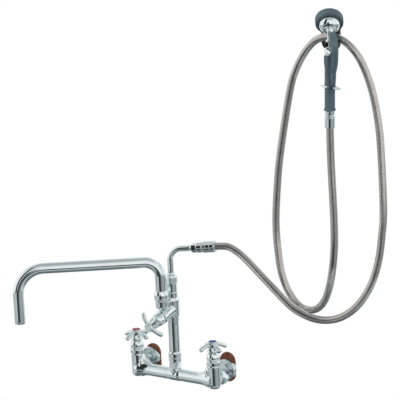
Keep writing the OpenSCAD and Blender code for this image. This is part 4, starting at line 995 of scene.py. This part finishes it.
def compass(tree, place):
    """The bearing of a place or direction, with +X at 0.5 and +Y at 0.75."""
    parts = node(tree, "ShaderNodeSeparateXYZ", Vector=place).outputs
    angle = maths(tree, "ARCTAN2", parts["Y"], parts["X"])
    return maths(tree, "MULTIPLY_ADD", angle, 0.5 / math.pi, 0.5)


def mixed(tree, share, first, second):
    """Two shaders mixed by a share."""
    made = tree.nodes.new("ShaderNodeMixShader")
    for socket, value in zip(made.inputs, (share, first.outputs[0], second.outputs[0])):
        feed(tree, socket, value)
    return made


floor = build("floor", [(floor_radius * math.cos(a), floor_radius * math.sin(a), -floor_drop)
                        for a in angles_round(floor_sides)], [range(floor_sides)])
floor_paint, tree, shader = new_material("pale_floor")
dress(tree, shader, Base_Color=(0.86, 0.87, 0.88, 1), Roughness=0.9)
level_place = maths(tree, "MULTIPLY", object_place(tree), (1 / floor_radius, 1 / floor_radius, 0),
                    kind="ShaderNodeVectorMath", output="Vector")
reach = maths(tree, "LENGTH", level_place, kind="ShaderNodeVectorMath")
# what metal sees of the floor: shade by the distance, and one screen's foot by the bearing
shade = ramp(tree, reach, (0.0, (0.22, 0.25, 0.26)), (0.2, (0.13, 0.16, 0.17)),
             (0.38, (0.14, 0.17, 0.18)), (0.6, (0.46, 0.50, 0.52)), (1.0, (0.66, 0.72, 0.74)))
screen_foot = ramp(tree, compass(tree, object_place(tree)), (0.158, (1, 1, 1)),
                   (0.172, (0.12, 0.12, 0.12)), (0.225, (0.12, 0.12, 0.12)), (0.24, (1, 1, 1)))
near = ramp(tree, reach, (0.5, (1, 1, 1)), (0.56, (0, 0, 0)))
shaded = node(tree, "ShaderNodeEmission", Color=shade,
              Strength=maths(tree, "MAXIMUM", screen_foot, near))
white = node(tree, "ShaderNodeEmission", Color=(1, 1, 1, 1), Strength=1.0)
rays = tree.nodes.new("ShaderNodeLightPath").outputs
in_metal = mixed(tree, rays["Is Glossy Ray"], shader, shaded)
seen = mixed(tree, maths(tree, "MULTIPLY", rays["Is Camera Ray"], 0.96), in_metal, white)
tree.links.new(seen.outputs[0], tree.nodes["Material Output"].inputs["Surface"])
paint(floor, floor_paint)

world = bpy.data.worlds.new("white_surround")
bpy.context.scene.world = world
world.use_nodes = True
tree = world.node_tree
direction = node(tree, "ShaderNodeTexCoord").outputs["Generated"]
upward = node(tree, "ShaderNodeSeparateXYZ", Vector=direction).outputs["Z"]
height = maths(tree, "MULTIPLY_ADD", upward, 0.5, 0.5)
bearing = compass(tree, direction)


def grey(level):
    """A studio grey, bluer the darker it is."""
    return (level * (0.82 + 0.18 * level), level * (0.96 + 0.04 * level), level)


def rows(*stops):
    """Greys from straight below, 0, to straight above, 1; each stop is (row, level)."""
    return ramp(tree, height, *[(row, grey(level)) for row, level in stops])


def bearings(*stops):
    """Greys round the horizon; each stop is (degrees from +X, level)."""
    return ramp(tree, bearing, *[(degrees / 360 + 0.5, grey(level)) for degrees, level in stops])


def blend(first, second, share):
    """Two studio colours mixed by a mask."""
    made = tree.nodes.new("ShaderNodeMix")
    made.data_type = "RGBA"
    for socket, value in ((0, share), (6, first), (7, second)):
        feed(tree, made.inputs[socket], value)
    return made.outputs[2]


above = rows((0.5, 0.95), (0.80, 0.90), (0.88, 0.68), (0.95, 0.50), (1.0, 0.46))
below = bearings((-180, 0.46), (-143, 0.50), (-92, 0.58), (-83, 0.08), (-62, 0.04),
                 (-46, 0.12), (-34, 0.30), (-10, 0.40), (18, 0.42), (30, 0.17), (44, 0.20),
                 (56, 0.62), (126, 0.85))
screens = blend(above, below, rows((0.40, 1), (0.435, 0)))
right_gap = maths(tree, "MULTIPLY", bearings((-82, 0), (-76, 1), (-62, 1), (-57, 0)),
                  rows((0.62, 1), (0.66, 0)))
left_gap = maths(tree, "MULTIPLY", bearings((-123, 0), (-115, 1), (-90, 1), (-84, 0)),
                 rows((0.322, 1), (0.338, 0), (0.403, 0), (0.418, 1), (0.9, 1), (0.95, 0)))
screens = blend(screens, (*grey(0.03), 1), maths(tree, "MAXIMUM", right_gap, left_gap))
mirror = node(tree, "ShaderNodeBackground", Color=screens, Strength=1.0)
plain = node(tree, "ShaderNodeBackground", Color=(0.95, 0.98, 1, 1), Strength=0.55)
back = node(tree, "ShaderNodeBackground", Color=(1, 1, 1, 1), Strength=1.0)
rays = tree.nodes.new("ShaderNodeLightPath").outputs
seen = mixed(tree, rays["Is Camera Ray"], mixed(tree, rays["Is Glossy Ray"], plain, mirror), back)
tree.links.new(seen.outputs[0], tree.nodes["World Output"].inputs["Surface"])


def lamp(name, place, aim, size, power):
    """A large soft lamp that faces a point."""
    data = bpy.data.lights.new(name, "AREA")
    data.shape = "RECTANGLE"
    data.size, data.size_y = size
    data.energy = power
    made = linked(name, data)
    made.location = place
    made.rotation_euler = (Vector(aim) - Vector(place)).to_track_quat("-Z", "Y").to_euler()
    made.visible_glossy = False


middle = (0.15, -0.05, 0.35)
lamp("window", (-1.6, -2.4, 2.2), middle, (1.4, 1.8), 42)
lamp("fill", (2.6, -1.2, 1.0), middle, (1.0, 2.0), 16)
lamp("top", (0.3, -0.2, 2.6), middle, (2.0, 1.2), 18)
lamp("behind", (0.6, 2.2, 1.6), middle, (2.0, 1.5), 16)
bpy.context.scene.view_settings.view_transform = "Standard"
